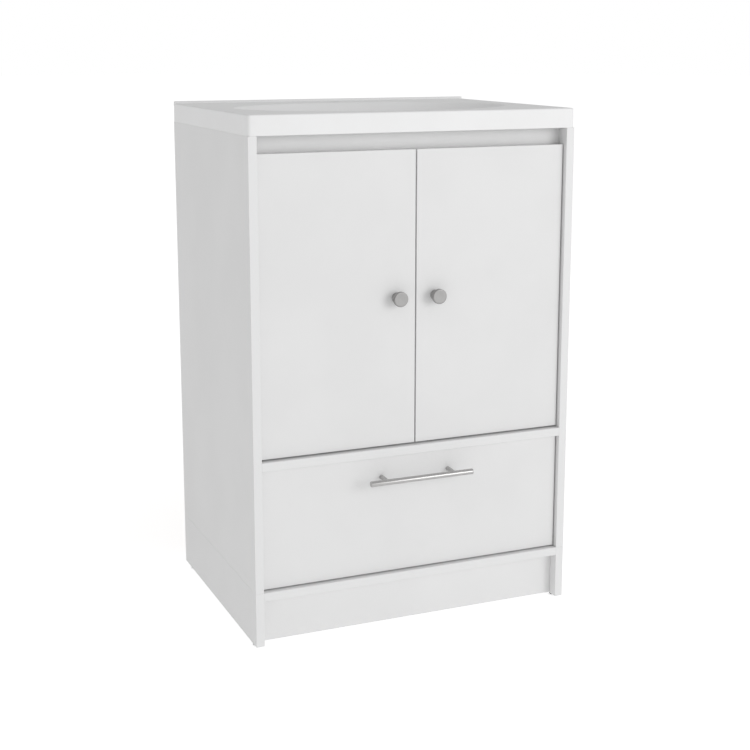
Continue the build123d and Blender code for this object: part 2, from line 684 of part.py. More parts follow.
with BuildPart() as left_hinge_cups:
    for height in HINGE_HEIGHTS:
        with BuildSketch(front_plane(1, CUP_X, INSIDE_FACE, height)):
            Circle(CUP_R)
        extrude(amount=-CUP_DEPTH)
        with BuildSketch(front_plane(1, CUP_X, INSIDE_FACE, height)):
            Circle(CUP_R + CUP_LIP)
            with Locations((CUP_WING_X, 0)):
                RectangleRounded(*CUP_WING, CUP_WING_R)
        extrude(amount=CUP_FLANGE)
        with BuildSketch(front_plane(1, CUP_X, INSIDE_FACE + CUP_FLANGE, height)):
            Circle(CUP_R - CUP_SHELL)
        extrude(amount=-CUP_DEPTH - CUP_FLANGE + CUP_SHELL, mode=Mode.SUBTRACT)
        with BuildSketch(front_plane(1, CUP_SCREW_X, INSIDE_FACE + CUP_FLANGE, height)):
            with Locations((0, -CUP_SCREW_Z), (0, CUP_SCREW_Z)):
                Circle(SCREW_R + HOLE_ROOM)
        extrude(amount=-CUP_FLANGE, mode=Mode.SUBTRACT)
        with BuildSketch(upright_plane(1, CUP_PIN_X, CUP_PIN_Y, height - CUP_PIN_HALF)):
            Circle(CUP_PIN_R)
        extrude(amount=2 * CUP_PIN_HALF)
write(left_hinge_cups, "left_hinge_cups")
right_hinge_cups = mirrored(left_hinge_cups)
write(right_hinge_cups, "right_hinge_cups")

left_cup_screws = screws(
    [front_plane(1, x, INSIDE_FACE + CUP_FLANGE, z) for x, z in cup_screw_spots], CUP_SCREW_LENGTH
)
write(left_cup_screws, "left_cup_screws")
right_cup_screws = mirrored(left_cup_screws)
write(right_cup_screws, "right_cup_screws")

with BuildPart() as left_hinge_links:
    for height in HINGE_HEIGHTS:
        with BuildSketch(upright_plane(1, CUP_PIN_X, CUP_PIN_Y, height - LINK_HALF_WIDTH)):
            with BuildLine():
                gooseneck = FilletPolyline(
                    (0, 0),
                    (LINK_CROOK, 0),
                    (LINK_CROOK, LINK_NECK),
                    (0, LINK_NECK),
                    (0, LINK_NECK + LINK_TAIL),
                    radius=LINK_BEND_R,
                )
            trace(gooseneck, line_width=LINK_THICK)
            Circle(LINK_EYE_R)
            Circle(CUP_PIN_R + PIN_ROOM, mode=Mode.SUBTRACT)
        extrude(amount=2 * LINK_HALF_WIDTH)
write(left_hinge_links, "left_hinge_links")
right_hinge_links = mirrored(left_hinge_links)
write(right_hinge_links, "right_hinge_links")

with BuildPart() as left_hinge_plates:
    for height in HINGE_HEIGHTS:
        with BuildSketch(side_plane(1, -INNER, HINGE_SCREW_Y, height)):
            RectangleRounded(*PLATE_WING, PLATE_WING_R)
            RectangleRounded(*PLATE_BODY, PLATE_BODY_R)
            with Locations((0, -HINGE_SCREW_Z), (0, HINGE_SCREW_Z)):
                Circle(SCREW_R + HOLE_ROOM, mode=Mode.SUBTRACT)
        extrude(amount=HINGE_PLATE)
        with BuildSketch(side_plane(1, PLATE_X, middle(PLATE_RIDGE_Y), height)):
            Rectangle(PLATE_RIDGE_Y[1] - PLATE_RIDGE_Y[0], 2 * LINK_HALF_WIDTH)
        extrude(amount=PLATE_RIDGE)
write(left_hinge_plates, "left_hinge_plates")
right_hinge_plates = mirrored(left_hinge_plates)
write(right_hinge_plates, "right_hinge_plates")

ARM_SCREW_R = 2.5
with BuildPart() as left_hinge_arms:
    for height in HINGE_HEIGHTS:
        with BuildSketch(side_plane(1, PLATE_X, middle(ARM_Y), height)):
            for sign in (-1, 1):
                with Locations((0, sign * (ARM_HALF - ARM_SHEET / 2))):
                    Rectangle(ARM_Y[1] - ARM_Y[0], ARM_SHEET)
        extrude(amount=ARM_RISE)
        with BuildSketch(side_plane(1, PLATE_X + ARM_RISE, middle((ARM_WEB_Y, ARM_Y[1])), height)):
            Rectangle(ARM_Y[1] - ARM_WEB_Y, 2 * ARM_HALF)
        extrude(amount=-ARM_SHEET)
        with BuildSketch(side_plane(1, PLATE_X + ARM_RISE, ARM_SCREW_Y, height)):
            Circle(ARM_SCREW_R + HOLE_ROOM)
        extrude(amount=-ARM_SHEET, mode=Mode.SUBTRACT)
write(left_hinge_arms, "left_hinge_arms")
right_hinge_arms = mirrored(left_hinge_arms)
write(right_hinge_arms, "right_hinge_arms")

left_arm_screws = screws(
    [side_plane(1, PLATE_X + ARM_RISE, ARM_SCREW_Y, height) for height in HINGE_HEIGHTS],
    ARM_RISE - PLATE_RIDGE,
    ARM_SCREW_R,
    *ARM_SCREW_HEAD,
)
plate_screws_left = screws(plate_screw_stations, PLATE_SCREW_LENGTH)
with BuildPart() as hinge_screws:
    add(left_arm_screws.part)
    add(plate_screws_left.part)
    mirror(hinge_screws.part, about=Plane.YZ)
write(hinge_screws, "hinge_screws")

# ---------------------------------------------------------------- drawer
DRAWER_X = (-DOOR_EDGE, DOOR_EDGE)
PULL_Z = DRAWER_TOP_EDGE - PULL_BELOW_TOP
PULL_SCREW_R = 2.0
GROOVE = 3.2
GROOVE_DEPTH = 6.0
GROOVE_Z = DRAWER_BOX_Z + 10.0
BOTTOM_IN_GROOVE = 5.5
DRAWER_BOX_UP = (DRAWER_BOX_Z, DRAWER_BOX_Z + DRAWER_BOX_HEIGHT)
DRAWER_SIDE_X = DRAWER_OUTER - DRAWER_BOARD / 2
DRAWER_BOLTS_Z = (DRAWER_BOX_Z + 28.0, DRAWER_BOX_Z + 118.0)
DRAWER_DOWEL_Z = DRAWER_BOX_Z + 73.0
FRONT_HOLE = 10.0
BACK_SCREW_LENGTH = 38.0
BACK_SCREW_R = 2.0
BACK_SCREW_HEAD = (3.4, 1.6)  # radius and height
BACK_SCREW_HEAD_HOLE_R = 3.5
BOTTOM_ROOM = 0.1

pull_spots = [(sign * PULL_CENTRES / 2, PULL_Z) for sign in (-1, 1)]
drawer_bolt_spots = [(sign * DRAWER_SIDE_X, z) for sign in (-1, 1) for z in DRAWER_BOLTS_Z]
drawer_dowel_spots = [(sign * DRAWER_SIDE_X, DRAWER_DOWEL_Z) for sign in (-1, 1)]

front_drillings = [
    (front_plane(1, x, INSIDE_FACE, z), PULL_SCREW_R + LOOSE_ROOM, BOARD) for x, z in pull_spots
]
front_drillings += [
    (front_plane(1, x, INSIDE_FACE, z), BOLT_R + HOLE_ROOM, FRONT_HOLE + DEPTH_ROOM)
    for x, z in drawer_bolt_spots
]
front_drillings += [
    (front_plane(1, x, INSIDE_FACE, z), DOWEL_R + HOLE_ROOM, FRONT_HOLE + DEPTH_ROOM)
    for x, z in drawer_dowel_spots
]
front_board = board(DRAWER_X, (FACE, INSIDE_FACE), (DRAWER_BOTTOM_EDGE, DRAWER_TOP_EDGE), front_drillings)
with BuildPart() as drawer_front:
    add(front_board.part)
    with BuildSketch(Plane.XY.offset(GROOVE_Z)):
        with Locations((0, INSIDE_FACE - GROOVE_DEPTH / 2)):
            Rectangle(2 * (DRAWER_INNER + GROOVE_DEPTH), GROOVE_DEPTH)
    extrude(amount=GROOVE, mode=Mode.SUBTRACT)
write(drawer_front, "drawer_front")

drawer_side_drillings = []
for z in DRAWER_BOLTS_Z:
    drawer_side_drillings += [
        (front_plane(-1, -DRAWER_SIDE_X, INSIDE_FACE, z), BOLT_R + HOLE_ROOM, CAM_FROM_END),
        (
            side_plane(1, -DRAWER_INNER, INSIDE_FACE + CAM_FROM_END, z),
            CAM_R + HOLE_ROOM,
            DRAWER_CAM_DEPTH + DEPTH_ROOM,
        ),
        (
            side_plane(-1, -DRAWER_OUTER, DRAWER_BACK_MIDDLE, z),
            BACK_SCREW_R + LOOSE_ROOM,
            DRAWER_BOARD,
        ),
        (
            side_plane(-1, -DRAWER_OUTER, DRAWER_BACK_MIDDLE, z),
            BACK_SCREW_HEAD_HOLE_R,
            BACK_SCREW_HEAD[1] + HOLE_ROOM,
        ),
    ]
drawer_side_drillings.append(
    (
        front_plane(-1, -DRAWER_SIDE_X, INSIDE_FACE, DRAWER_DOWEL_Z),
        DOWEL_R + HOLE_ROOM,
        DOWEL_IN_BOARD + DEPTH_ROOM,
    )
)
drawer_side_drillings += [
    (side_plane(-1, -DRAWER_OUTER, y, SLIDE_Z), SCREW_R + HOLE_ROOM, SLIDE_SCREW_LENGTH - SLIDE_SHEET)
    for y in SLIDE_SCREWS_Y
]
side_board = board(
    (-DRAWER_OUTER, -DRAWER_INNER),
    (INSIDE_FACE, INSIDE_FACE + DRAWER_BOX_LENGTH),
    DRAWER_BOX_UP,
    drawer_side_drillings,
)
with BuildPart() as drawer_side_left:
    add(side_board.part)
    with BuildSketch(Plane.XY.offset(GROOVE_Z)):
        with Locations((-DRAWER_INNER - GROOVE_DEPTH / 2, INSIDE_FACE + DRAWER_BOX_LENGTH / 2)):
            Rectangle(GROOVE_DEPTH, DRAWER_BOX_LENGTH)
    extrude(amount=GROOVE, mode=Mode.SUBTRACT)
write(drawer_side_left, "drawer_side_left")
drawer_side_right = mirrored(drawer_side_left)
write(drawer_side_right, "drawer_side_right")

back_board = board(
    (-DRAWER_INNER, DRAWER_INNER),
    (DRAWER_BACK_Y, DRAWER_BACK_Y + DRAWER_BOARD),
    DRAWER_BOX_UP,
    [
        (
            side_plane(sign, sign * DRAWER_INNER, DRAWER_BACK_MIDDLE, z),
            BACK_SCREW_R + HOLE_ROOM,
            BACK_SCREW_LENGTH - DRAWER_BOARD,
        )
        for sign in (-1, 1)
        for z in DRAWER_BOLTS_Z
    ],
)
with BuildPart() as drawer_back:
    add(back_board.part)
    with BuildSketch(Plane.XY.offset(GROOVE_Z)):
        with Locations((0, DRAWER_BACK_Y + GROOVE_DEPTH / 2)):
            Rectangle(2 * DRAWER_INNER, GROOVE_DEPTH)
    extrude(amount=GROOVE, mode=Mode.SUBTRACT)
write(drawer_back, "drawer_back")

with BuildPart() as drawer_bottom:
    with BuildSketch(Plane.XY.offset(GROOVE_Z + BOTTOM_ROOM)):
        with Locations((0, middle((INSIDE_FACE, DRAWER_BACK_Y)))):
            Rectangle(
                2 * (DRAWER_INNER + BOTTOM_IN_GROOVE),
                DRAWER_BACK_Y - INSIDE_FACE + 2 * BOTTOM_IN_GROOVE,
            )
    extrude(amount=BACK_SHEET)
write(drawer_bottom, "drawer_bottom")

drawer_bolts = pegs(
    [front_plane(-1, x, INSIDE_FACE, z) for x, z in drawer_bolt_spots], BOLT_R, BOLT_IN_BOARD, FRONT_HOLE
)
write(drawer_bolts, "drawer_bolts")
drawer_dowels = pegs(
    [front_plane(-1, x, INSIDE_FACE, z) for x, z in drawer_dowel_spots], DOWEL_R, DOWEL_IN_BOARD, FRONT_HOLE
)
write(drawer_dowels, "drawer_dowels")
drawer_cams = cams(
    [
        side_plane(sign, -sign * DRAWER_INNER, INSIDE_FACE + CAM_FROM_END, z)
        for sign in (-1, 1)
        for z in DRAWER_BOLTS_Z
    ],
    DRAWER_CAM_DEPTH,
)
write(drawer_cams, "drawer_cams")
drawer_screws = screws(
    [
        side_plane(sign, sign * (DRAWER_OUTER - BACK_SCREW_HEAD[1]), DRAWER_BACK_MIDDLE, z)
        for sign in (-1, 1)
        for z in DRAWER_BOLTS_Z
    ],
    BACK_SCREW_LENGTH - BACK_SCREW_HEAD[1] - DEPTH_ROOM,
    BACK_SCREW_R,
    *BACK_SCREW_HEAD,
)
write(drawer_screws, "drawer_screws")

# ---------------------------------------------------------------- drawer slides
# each member: x of its web's two faces, x of its lips' far end, half height
MIDDLE_WEB_X = -INNER + 3.2
CABINET_LIP = 9.7
MIDDLE_LIP = 7.4
DRAWER_LIP = 7.2
MIDDLE_HALF = SLIDE_HEIGHT / 2 - 2.1
DRAWER_HALF = SLIDE_HEIGHT / 2 - 4.7
CABINET_MEMBER = (-INNER, -INNER + SLIDE_SHEET, -INNER + CABINET_LIP, SLIDE_HEIGHT / 2)
MIDDLE_MEMBER = (MIDDLE_WEB_X, MIDDLE_WEB_X + SLIDE_SHEET, MIDDLE_WEB_X + MIDDLE_LIP, MIDDLE_HALF)
DRAWER_MEMBER = (-DRAWER_OUTER, -DRAWER_OUTER - SLIDE_SHEET, -DRAWER_OUTER - DRAWER_LIP, DRAWER_HALF)


def slide_member(web_outer, web_inner, lip_end, half_height, screw_side):
    """A rolled channel: an upright web with a lip along its top and its bottom edge."""
    with BuildPart() as member:
        with BuildSketch(Plane(origin=(0, SLIDE_FRONT, SLIDE_Z), x_dir=(1, 0, 0), z_dir=(0, -1, 0))):
            with Locations((middle((web_outer, web_inner)), 0)):
                Rectangle(abs(web_inner - web_outer), 2 * half_height)
            for sign in (-1, 1):
                with Locations((middle((web_outer, lip_end)), sign * (half_height - SLIDE_SHEET / 2))):
                    Rectangle(abs(lip_end - web_outer), SLIDE_SHEET)
        extrude(amount=-SLIDE_LENGTH)
        if screw_side:
            for y in SLIDE_SCREWS_Y:
                with BuildSketch(side_plane(screw_side, web_inner, y, SLIDE_Z)):
                    Circle(SCREW_R + HOLE_ROOM)
                extrude(amount=-SLIDE_SHEET, mode=Mode.SUBTRACT)
    return member


for name, limits, screw_side in (
    ("slide_cabinet", CABINET_MEMBER, 1),
    ("slide_middle", MIDDLE_MEMBER, 0),
    ("slide_drawer", DRAWER_MEMBER, -1),
):
    member_left = slide_member(*limits, screw_side)
    write(member_left, f"{name}_left")
    member_right = mirrored(member_left)
    write(member_right, f"{name}_right")

slide_screws = screws(
    [
        side_plane(-sign, sign * (INNER - SLIDE_SHEET), y, SLIDE_Z)
        for sign in (-1, 1)
        for y in SLIDE_SCREWS_Y
    ],
    SLIDE_SCREW_LENGTH,
)
write(slide_screws, "slide_screws")
drawer_slide_screws = screws(
    [
        side_plane(sign, sign * (DRAWER_OUTER + SLIDE_SHEET), y, SLIDE_Z)
        for sign in (-1, 1)
        for y in SLIDE_SCREWS_Y
    ],
    SLIDE_SCREW_LENGTH - DEPTH_ROOM,
)
write(drawer_slide_screws, "drawer_slide_screws")

# ---------------------------------------------------------------- pull
BAR_Y = FACE - PULL_PROJECTION
PULL_BORE = 16.0
BAR_EDGE = 0.8
with BuildPart() as pull_bar:
    with BuildSketch(side_plane(1, -PULL_LENGTH / 2, BAR_Y, PULL_Z)):
        Circle(PULL_BAR_R)
    extrude(amount=PULL_LENGTH)
    chamfer(pull_bar.edges().filter_by(GeomType.CIRCLE), BAR_EDGE)
write(pull_bar, "pull_bar")

with BuildPart() as pull_posts:
    for x, z in pull_spots:
        with BuildSketch(front_plane(-1, x, FACE, z)):
            Circle(PULL_POST_R)
        extrude(amount=PULL_PROJECTION)
        with BuildSketch(front_plane(-1, x, FACE, z)):
            Circle(PULL_SCREW_R + HOLE_ROOM)
        extrude(amount=PULL_BORE, mode=Mode.SUBTRACT)
    with BuildSketch(side_plane(1, -PULL_LENGTH / 2, BAR_Y, PULL_Z)):
        Circle(PULL_BAR_R)
    extrude(amount=PULL_LENGTH, mode=Mode.SUBTRACT)
write(pull_posts, "pull_posts")

pull_screws = screws(
    [front_plane(1, x, INSIDE_FACE, z) for x, z in pull_spots],
    BOARD + PULL_BORE - SCREW_END_ROOM,
    PULL_SCREW_R,
    *HANDLE_SCREW_HEAD,
)
write(pull_screws, "pull_screws")
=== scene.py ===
import json
import math

import bmesh
import bpy
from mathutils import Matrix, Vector


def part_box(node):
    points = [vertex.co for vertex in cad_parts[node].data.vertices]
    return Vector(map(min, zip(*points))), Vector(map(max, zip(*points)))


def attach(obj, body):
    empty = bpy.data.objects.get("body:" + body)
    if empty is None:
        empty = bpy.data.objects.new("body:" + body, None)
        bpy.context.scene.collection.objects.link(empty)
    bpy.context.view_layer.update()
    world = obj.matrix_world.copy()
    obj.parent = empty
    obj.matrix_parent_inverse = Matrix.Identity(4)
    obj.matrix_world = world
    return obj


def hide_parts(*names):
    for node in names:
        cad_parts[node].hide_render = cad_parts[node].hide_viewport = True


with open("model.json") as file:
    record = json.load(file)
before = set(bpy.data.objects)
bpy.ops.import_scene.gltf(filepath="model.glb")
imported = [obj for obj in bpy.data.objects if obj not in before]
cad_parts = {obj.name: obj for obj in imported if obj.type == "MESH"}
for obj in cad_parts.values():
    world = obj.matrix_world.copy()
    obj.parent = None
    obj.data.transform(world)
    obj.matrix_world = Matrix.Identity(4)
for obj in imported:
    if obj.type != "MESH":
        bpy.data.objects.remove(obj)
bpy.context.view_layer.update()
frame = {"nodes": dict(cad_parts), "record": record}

MM = 0.001
WELD = 0.00001  # vertices nearer than this are one
SMOOTH = math.radians(35)
UP = Vector((0, 0, 1))
FORWARD = Vector((0, -1, 0))
BACKWARD = Vector((0, 1, 0))
RIGHTWARD = Vector((1, 0, 0))

# boards by the axis that their thickness lies along
BOARDS = {
    "X": (
        "side_panel_left",
        "side_panel_right",
        "base_side_left",
        "base_side_right",
        "drawer_side_left",
        "drawer_side_right",
    ),
    "Y": (
        "left_door",
        "right_door",
        "drawer_front",
        "drawer_back",
        "plinth_front",
        "plinth_rear",
        "top_rail_front",
        "top_rail_rear",
    ),
    "Z": ("bottom_shelf", "middle_shelf"),
}


# ---------------------------------------------------------------- shader kit
class Socket:
    """An output of a shader node that takes part in arithmetic."""

    def __init__(self, finish, output):
        self.finish = finish
        self.output = output

    def maths(self, operation, *values):
        return self.finish.node("ShaderNodeMath", {"operation": operation}, dict(enumerate(values)))

    def __add__(self, other):
        return self.maths("ADD", self, other)

    def __radd__(self, other):
        return self.maths("ADD", other, self)

    def __sub__(self, other):
        return self.maths("SUBTRACT", self, other)

    def __rsub__(self, other):
        return self.maths("SUBTRACT", other, self)

    def __mul__(self, other):
        return self.maths("MULTIPLY", self, other)

    def __rmul__(self, other):
        return self.maths("MULTIPLY", other, self)

    def __gt__(self, other):
        return self.maths("GREATER_THAN", self, other)

    def __lt__(self, other):
        return self.maths("LESS_THAN", self, other)

    def __abs__(self):
        return self.maths("ABSOLUTE", self)

    def sine(self):
        return self.maths("SINE", self)

    def root(self):
        return self.maths("SQRT", self)

    def eased(self, low, high):
        """0 at low, 1 at high and smooth in between."""
        limits = {"Value": self, "From Min": low, "From Max": high}
        return self.finish.node("ShaderNodeMapRange", {"interpolation_type": "SMOOTHSTEP"}, limits)

    def parts(self):
        """The three numbers of a vector."""
        return [self.finish.node("ShaderNodeSeparateXYZ", {}, {"Vector": self}, axis) for axis in "XYZ"]

    def stretched(self, *factors):
        """A vector with each of its numbers multiplied."""
        return self.finish.node("ShaderNodeVectorMath", {"operation": "MULTIPLY"}, {0: self, 1: factors})


class Finish:
    """A material whose node tree is written as Python expressions."""

    def __init__(self, name, constants):
        self.material = bpy.data.materials.new(name)
        self.material.use_nodes = True
        self.tree = self.material.node_tree
        self.shader = self.tree.nodes["Principled BSDF"]
        for socket, value in constants.items():
            self.shader.inputs[socket].default_value = value

    def node(self, kind, settings, inputs, output=0):
        """Any node: its settings first, then the values or links of its sockets."""
        made = self.tree.nodes.new(kind)
        for key, value in settings.items():
            setattr(made, key, value)
        for key, value in inputs.items():
            if isinstance(value, Socket):
                self.tree.links.new(value.output, made.inputs[key])
            else:
                made.inputs[key].default_value = value
        return Socket(self, made.outputs[output])

    def place(self):
        return self.node("ShaderNodeTexCoord", {}, {}, "Object")

    def facing(self):
        return self.node("ShaderNodeTexCoord", {}, {}, "Normal")

    def noise(self, vector, scale, detail=2.0, roughness=0.5):
        inputs = {"Vector": vector, "Scale": scale, "Detail": detail, "Roughness": roughness}
        return self.node("ShaderNodeTexNoise", {}, inputs)

    def vector(self, x, y, z):
        return self.node("ShaderNodeCombineXYZ", {}, {"X": x, "Y": y, "Z": z})

    def mixed(self, factor, first, second):
        """A colour between two colours."""
        colour_inputs = {0: factor, 6: first, 7: second}
        return self.node("ShaderNodeMix", {"data_type": "RGBA"}, colour_inputs, 2)

    def feed(self, socket, value):
        self.tree.links.new(value.output, self.shader.inputs[socket])

    def emboss(self, height, distance, strength=1.0):
        """Relief: height is from 0 to 1 and distance is its depth in metres."""
        inputs = {"Height": height, "Distance": distance, "Strength": strength}
        self.feed("Normal", self.node("ShaderNodeBump", {}, inputs))


def grey(value, warmth=0.0):
    """A near-neutral colour, slightly warm or cool."""
    return (value * (1 + warmth), value, value * (1 - warmth), 1.0)


# ---------------------------------------------------------------- finishes
def melamine(name, thin):
    """White foil with a fine pebble, and smoother edge banding on the board's edges."""
    finish = Finish(name, {"Specular IOR Level": 0.45})
    place = finish.place()
    across = finish.facing().parts()["XYZ".index(thin)]
    band = abs(across) < 0.7
    pebble = finish.noise(place, 1500, 3.0, 0.6)
    swell = finish.noise(place, 160, 2.0)
    tone = finish.noise(place, 7, 3.0)
    foil = finish.mixed(tone.eased(0.3, 0.7), grey(0.795), grey(0.815))
    finish.feed("Base Color", finish.mixed(band * 0.9, foil, grey(0.82, -0.002)))
    finish.feed("Roughness", 0.44 + 0.08 * pebble - 0.08 * band)
    finish.emboss(pebble * (1 - 0.6 * band) + 0.5 * swell, 0.00004, 0.55)
    return finish.material


def cast_polymer(name):
    """Gloss white cast polymer: a clear gel coat over a very faintly clouded body."""
    finish = Finish(name, {"Specular IOR Level": 0.4, "Coat Roughness": 0.2, "Coat IOR": 1.45})
    place = finish.place()
    cloud = finish.noise(place, 9, 4.0, 0.6)
    ripple = finish.noise(place, 55, 2.0)
    wipe = finish.noise(place, 24, 5.0, 0.65)
    finish.feed("Base Color", finish.mixed(cloud.eased(0.35, 0.65), grey(0.865), grey(0.88, -0.002)))
    finish.feed("Roughness", 0.42 + 0.08 * wipe)
    finish.feed("Coat Weight", 0.05 + 0.05 * cloud)
    finish.emboss(ripple, 0.00005, 0.3)
    return finish.material


def satin_nickel(name, turn_axis, centre, value, polish):
    """Nickel with brush lines round an axis through centre; polish is its least roughness."""
    finish = Finish(name, {"Metallic": 1.0, "IOR": 1.5})
    place = finish.place()
    x, y, z = place.parts()
    if turn_axis == "X":
        along, first, second = x, y - centre[1], z - centre[2]
    else:
        along, first, second = y, abs(x) - centre[0], z - centre[2]
    radius = (first * first + second * second).root()
    rings = finish.noise(finish.vector(along * 9000, radius * 9000, first * 90), 1.0, 3.0, 0.65)
    patch = finish.noise(place, 220, 2.0)
    dull, bright = grey(0.9 * value, 0.01), grey(1.1 * value, 0.01)
    finish.feed("Base Color", finish.mixed(rings.eased(0.25, 0.75), dull, bright))
    finish.feed("Roughness", polish + 0.16 * rings + 0.05 * patch)
    finish.emboss(rings, 0.00001, 0.5)
    return finish.material


def pressed_steel(name):
    """Bright plating on pressed sheet, with fine scuffs from the tools."""
    finish = Finish(name, {"Metallic": 1.0})
    place = finish.place()
    scuff = finish.noise(place.stretched(1, 1, 0.12), 2600, 4.0, 0.7)
    bloom = finish.noise(place, 130, 3.0)
    finish.feed("Base Color", finish.mixed(bloom.eased(0.3, 0.7), grey(0.62, 0.006), grey(0.70, 0.004)))
    finish.feed("Roughness", 0.2 + 0.14 * scuff + 0.06 * bloom)
    finish.emboss(scuff, 0.000008, 0.4)
    return finish.material


def rolled_steel(name):
    """Zinc-plated strip with rolling lines along its length."""
    finish = Finish(name, {"Metallic": 1.0})
    place = finish.place()
    lines = finish.noise(place.stretched(1, 0.01, 1), 3200, 3.0, 0.6)
    spangle = finish.noise(place, 90, 4.0, 0.7)
    finish.feed("Base Color", finish.mixed(spangle.eased(0.3, 0.7), grey(0.55, -0.012), grey(0.66, -0.008)))
    finish.feed("Roughness", 0.27 + 0.16 * lines + 0.08 * spangle)
    finish.emboss(lines, 0.000012, 0.5)
    return finish.material


def zinc_plate(name):
    """Zinc plate on turned and cast fasteners: a slightly grainy blue-grey."""
    finish = Finish(name, {"Metallic": 1.0})
    place = finish.place()
    grain = finish.noise(place, 3800, 3.0, 0.6)
    bloom = finish.noise(place, 400, 2.0)
    finish.feed("Base Color", finish.mixed(bloom.eased(0.3, 0.7), grey(0.52, -0.02), grey(0.66, -0.01)))
    finish.feed("Roughness", 0.3 + 0.2 * grain)
    finish.emboss(grain, 0.00001, 0.4)
    return finish.material


def beech(name, grain_factors):
    """Plain beech with short dark flecks along the grain."""
    finish = Finish(name, {"Specular IOR Level": 0.35})
    place = finish.place()
    fibre = finish.noise(place.stretched(*grain_factors), 1400, 4.0, 0.6)
    fleck = finish.noise(place.stretched(*grain_factors), 3600, 1.0).eased(0.66, 0.72)
    wood = finish.mixed(fibre.eased(0.3, 0.7), (0.60, 0.40, 0.22, 1), (0.74, 0.55, 0.35, 1))
    finish.feed("Base Color", finish.mixed(0.6 * fleck, wood, (0.36, 0.21, 0.11, 1)))
    finish.feed("Roughness", 0.55 + 0.2 * fibre)
    finish.emboss(fibre, 0.00004, 0.6)
    return finish.material


def hardboard(name, white_side):
    """Hardboard: a white film on one side, bare brown fibre with its press-cloth weave on the rest."""
    axis, sign = white_side
    finish = Finish(name, {"Specular IOR Level": 0.3})
    place = finish.place()
    white = sign * finish.facing().parts()["XYZ".index(axis)] > 0.5
    x, y, z = place.parts()
    first, second = (x, z) if axis == "Y" else (x, y)
    turns = 2 * math.pi / (1.6 * MM)
    weave = 0.5 + 0.25 * (first * turns).sine() + 0.25 * (second * turns).sine()
    fibre = finish.noise(place, 420, 5.0, 0.7)
    fine = finish.noise(place, 1500, 2.0)
    brown = finish.mixed(fibre.eased(0.3, 0.7), (0.17, 0.085, 0.04, 1), (0.33, 0.19, 0.10, 1))
    finish.feed("Base Color", finish.mixed(white, brown, grey(0.79)))
    finish.feed("Roughness", 0.75 - 0.28 * white + 0.06 * fibre)
    finish.emboss(white * 0.08 * fine + (1 - white) * (weave + 0.6 * fibre), 0.00025, 0.7)
    return finish.material


def nylon(name):
    """Dark moulded nylon, scuffed where it meets the floor."""
    finish = Finish(name, {"Specular IOR Level": 0.4})
    place = finish.place()
    grain = finish.noise(place, 1900, 3.0, 0.6)
    height = place.parts()[2]
    scuff = finish.noise(place, 700, 4.0, 0.7).eased(0.45, 0.7) * (1 - height.eased(0.0, 1.2 * MM))
    finish.feed("Base Color", finish.mixed(0.5 * scuff, grey(0.03), grey(0.1)))
    finish.feed("Roughness", 0.42 + 0.2 * grain + 0.2 * scuff)
    finish.emboss(grain, 0.00003, 0.5)
    return finish.material


# ---------------------------------------------------------------- modelling kit
def deselect():
    for piece in bpy.context.selected_objects:
        piece.select_set(False)


def newest(name):
    """Names the object that an operator has just added."""
    piece = bpy.context.active_object
    piece.name = piece.data.name = name
    return piece


def open_mesh(piece, mode):
    """Edit mode on one piece, all of it selected."""
    deselect()
    bpy.context.view_layer.objects.active = piece
    piece.select_set(True)
    bpy.ops.object.mode_set(mode="EDIT")
    bpy.ops.mesh.select_mode(type=mode)
    bpy.ops.mesh.select_all(action="SELECT")


def close_mesh():
    bpy.ops.object.mode_set(mode="OBJECT")


def choose(piece, kind, test):
    """Selects the vertices, edges or faces of the open mesh that pass the test."""
    bpy.ops.mesh.select_all(action="DESELECT")
    mesh = bmesh.from_edit_mesh(piece.data)
    for element in getattr(mesh, kind):
        if test(element):
            element.select_set(True)
    bmesh.update_edit_mesh(piece.data)


def settle(piece):
    """Applies the object's place, so that its place is in its mesh."""
    deselect()
    bpy.context.view_layer.objects.active = piece
    piece.select_set(True)
    bpy.ops.object.transform_apply(location=True, rotation=True, scale=True)


def smoothed(piece):
    """Outward faces, smooth shading and crisp edges."""
    open_mesh(piece, "FACE")
    bpy.ops.mesh.normals_make_consistent(inside=False)
    close_mesh()
    bpy.ops.object.shade_smooth_by_angle(angle=SMOOTH)
    return piece


def apply_modifier(piece, kind, settings):
    deselect()
    bpy.context.view_layer.objects.active = piece
    piece.select_set(True)
    modifier = piece.modifiers.new(kind.title(), kind)
    for key, value in settings.items():
        setattr(modifier, key, value)
    bpy.ops.object.modifier_apply(modifier=modifier.name)


def cut_with(piece, tool, operation="DIFFERENCE"):
    """Joins, or cuts away, a second piece, which is then thrown away."""
    apply_modifier(piece, "BOOLEAN", {"object": tool, "operation": operation, "solver": "EXACT"})
    bpy.data.objects.remove(tool)


def round_corner(centre, radius, start, end, steps=5):
    """Points of an arc in a (radius, height) profile; angles in degrees from the radius direction."""
    angles = [math.radians(start + (end - start) * step / steps) for step in range(steps + 1)]
    return [(centre[0] + radius * math.cos(a), centre[1] + radius * math.sin(a)) for a in angles]


def turned(name, profile, foot, direction, sides=48):
    """A lathe-turned piece: (radius, height) points up its axis, flat at both ends."""
    deselect()
    radius, height = profile[0]
    foot_ring = {"vertices": sides, "radius": radius, "fill_type": "NGON"}
    bpy.ops.mesh.primitive_circle_add(**foot_ring, location=(0, 0, height))
    piece = newest(name)
    settle(piece)
    open_mesh(piece, "FACE")
    for next_radius, next_height in profile[1:]:
        rise = {"value": (0, 0, next_height - height)}
        bpy.ops.mesh.extrude_region_move(TRANSFORM_OT_translate=rise)
        grow = next_radius / radius
        bpy.ops.transform.resize(value=(grow, grow, 1), center_override=(0, 0, next_height))
        radius, height = next_radius, next_height
    close_mesh()
    piece.rotation_euler = Vector(direction).to_track_quat("Z", "Y").to_euler()
    piece.location = foot
    settle(piece)
    return smoothed(piece)


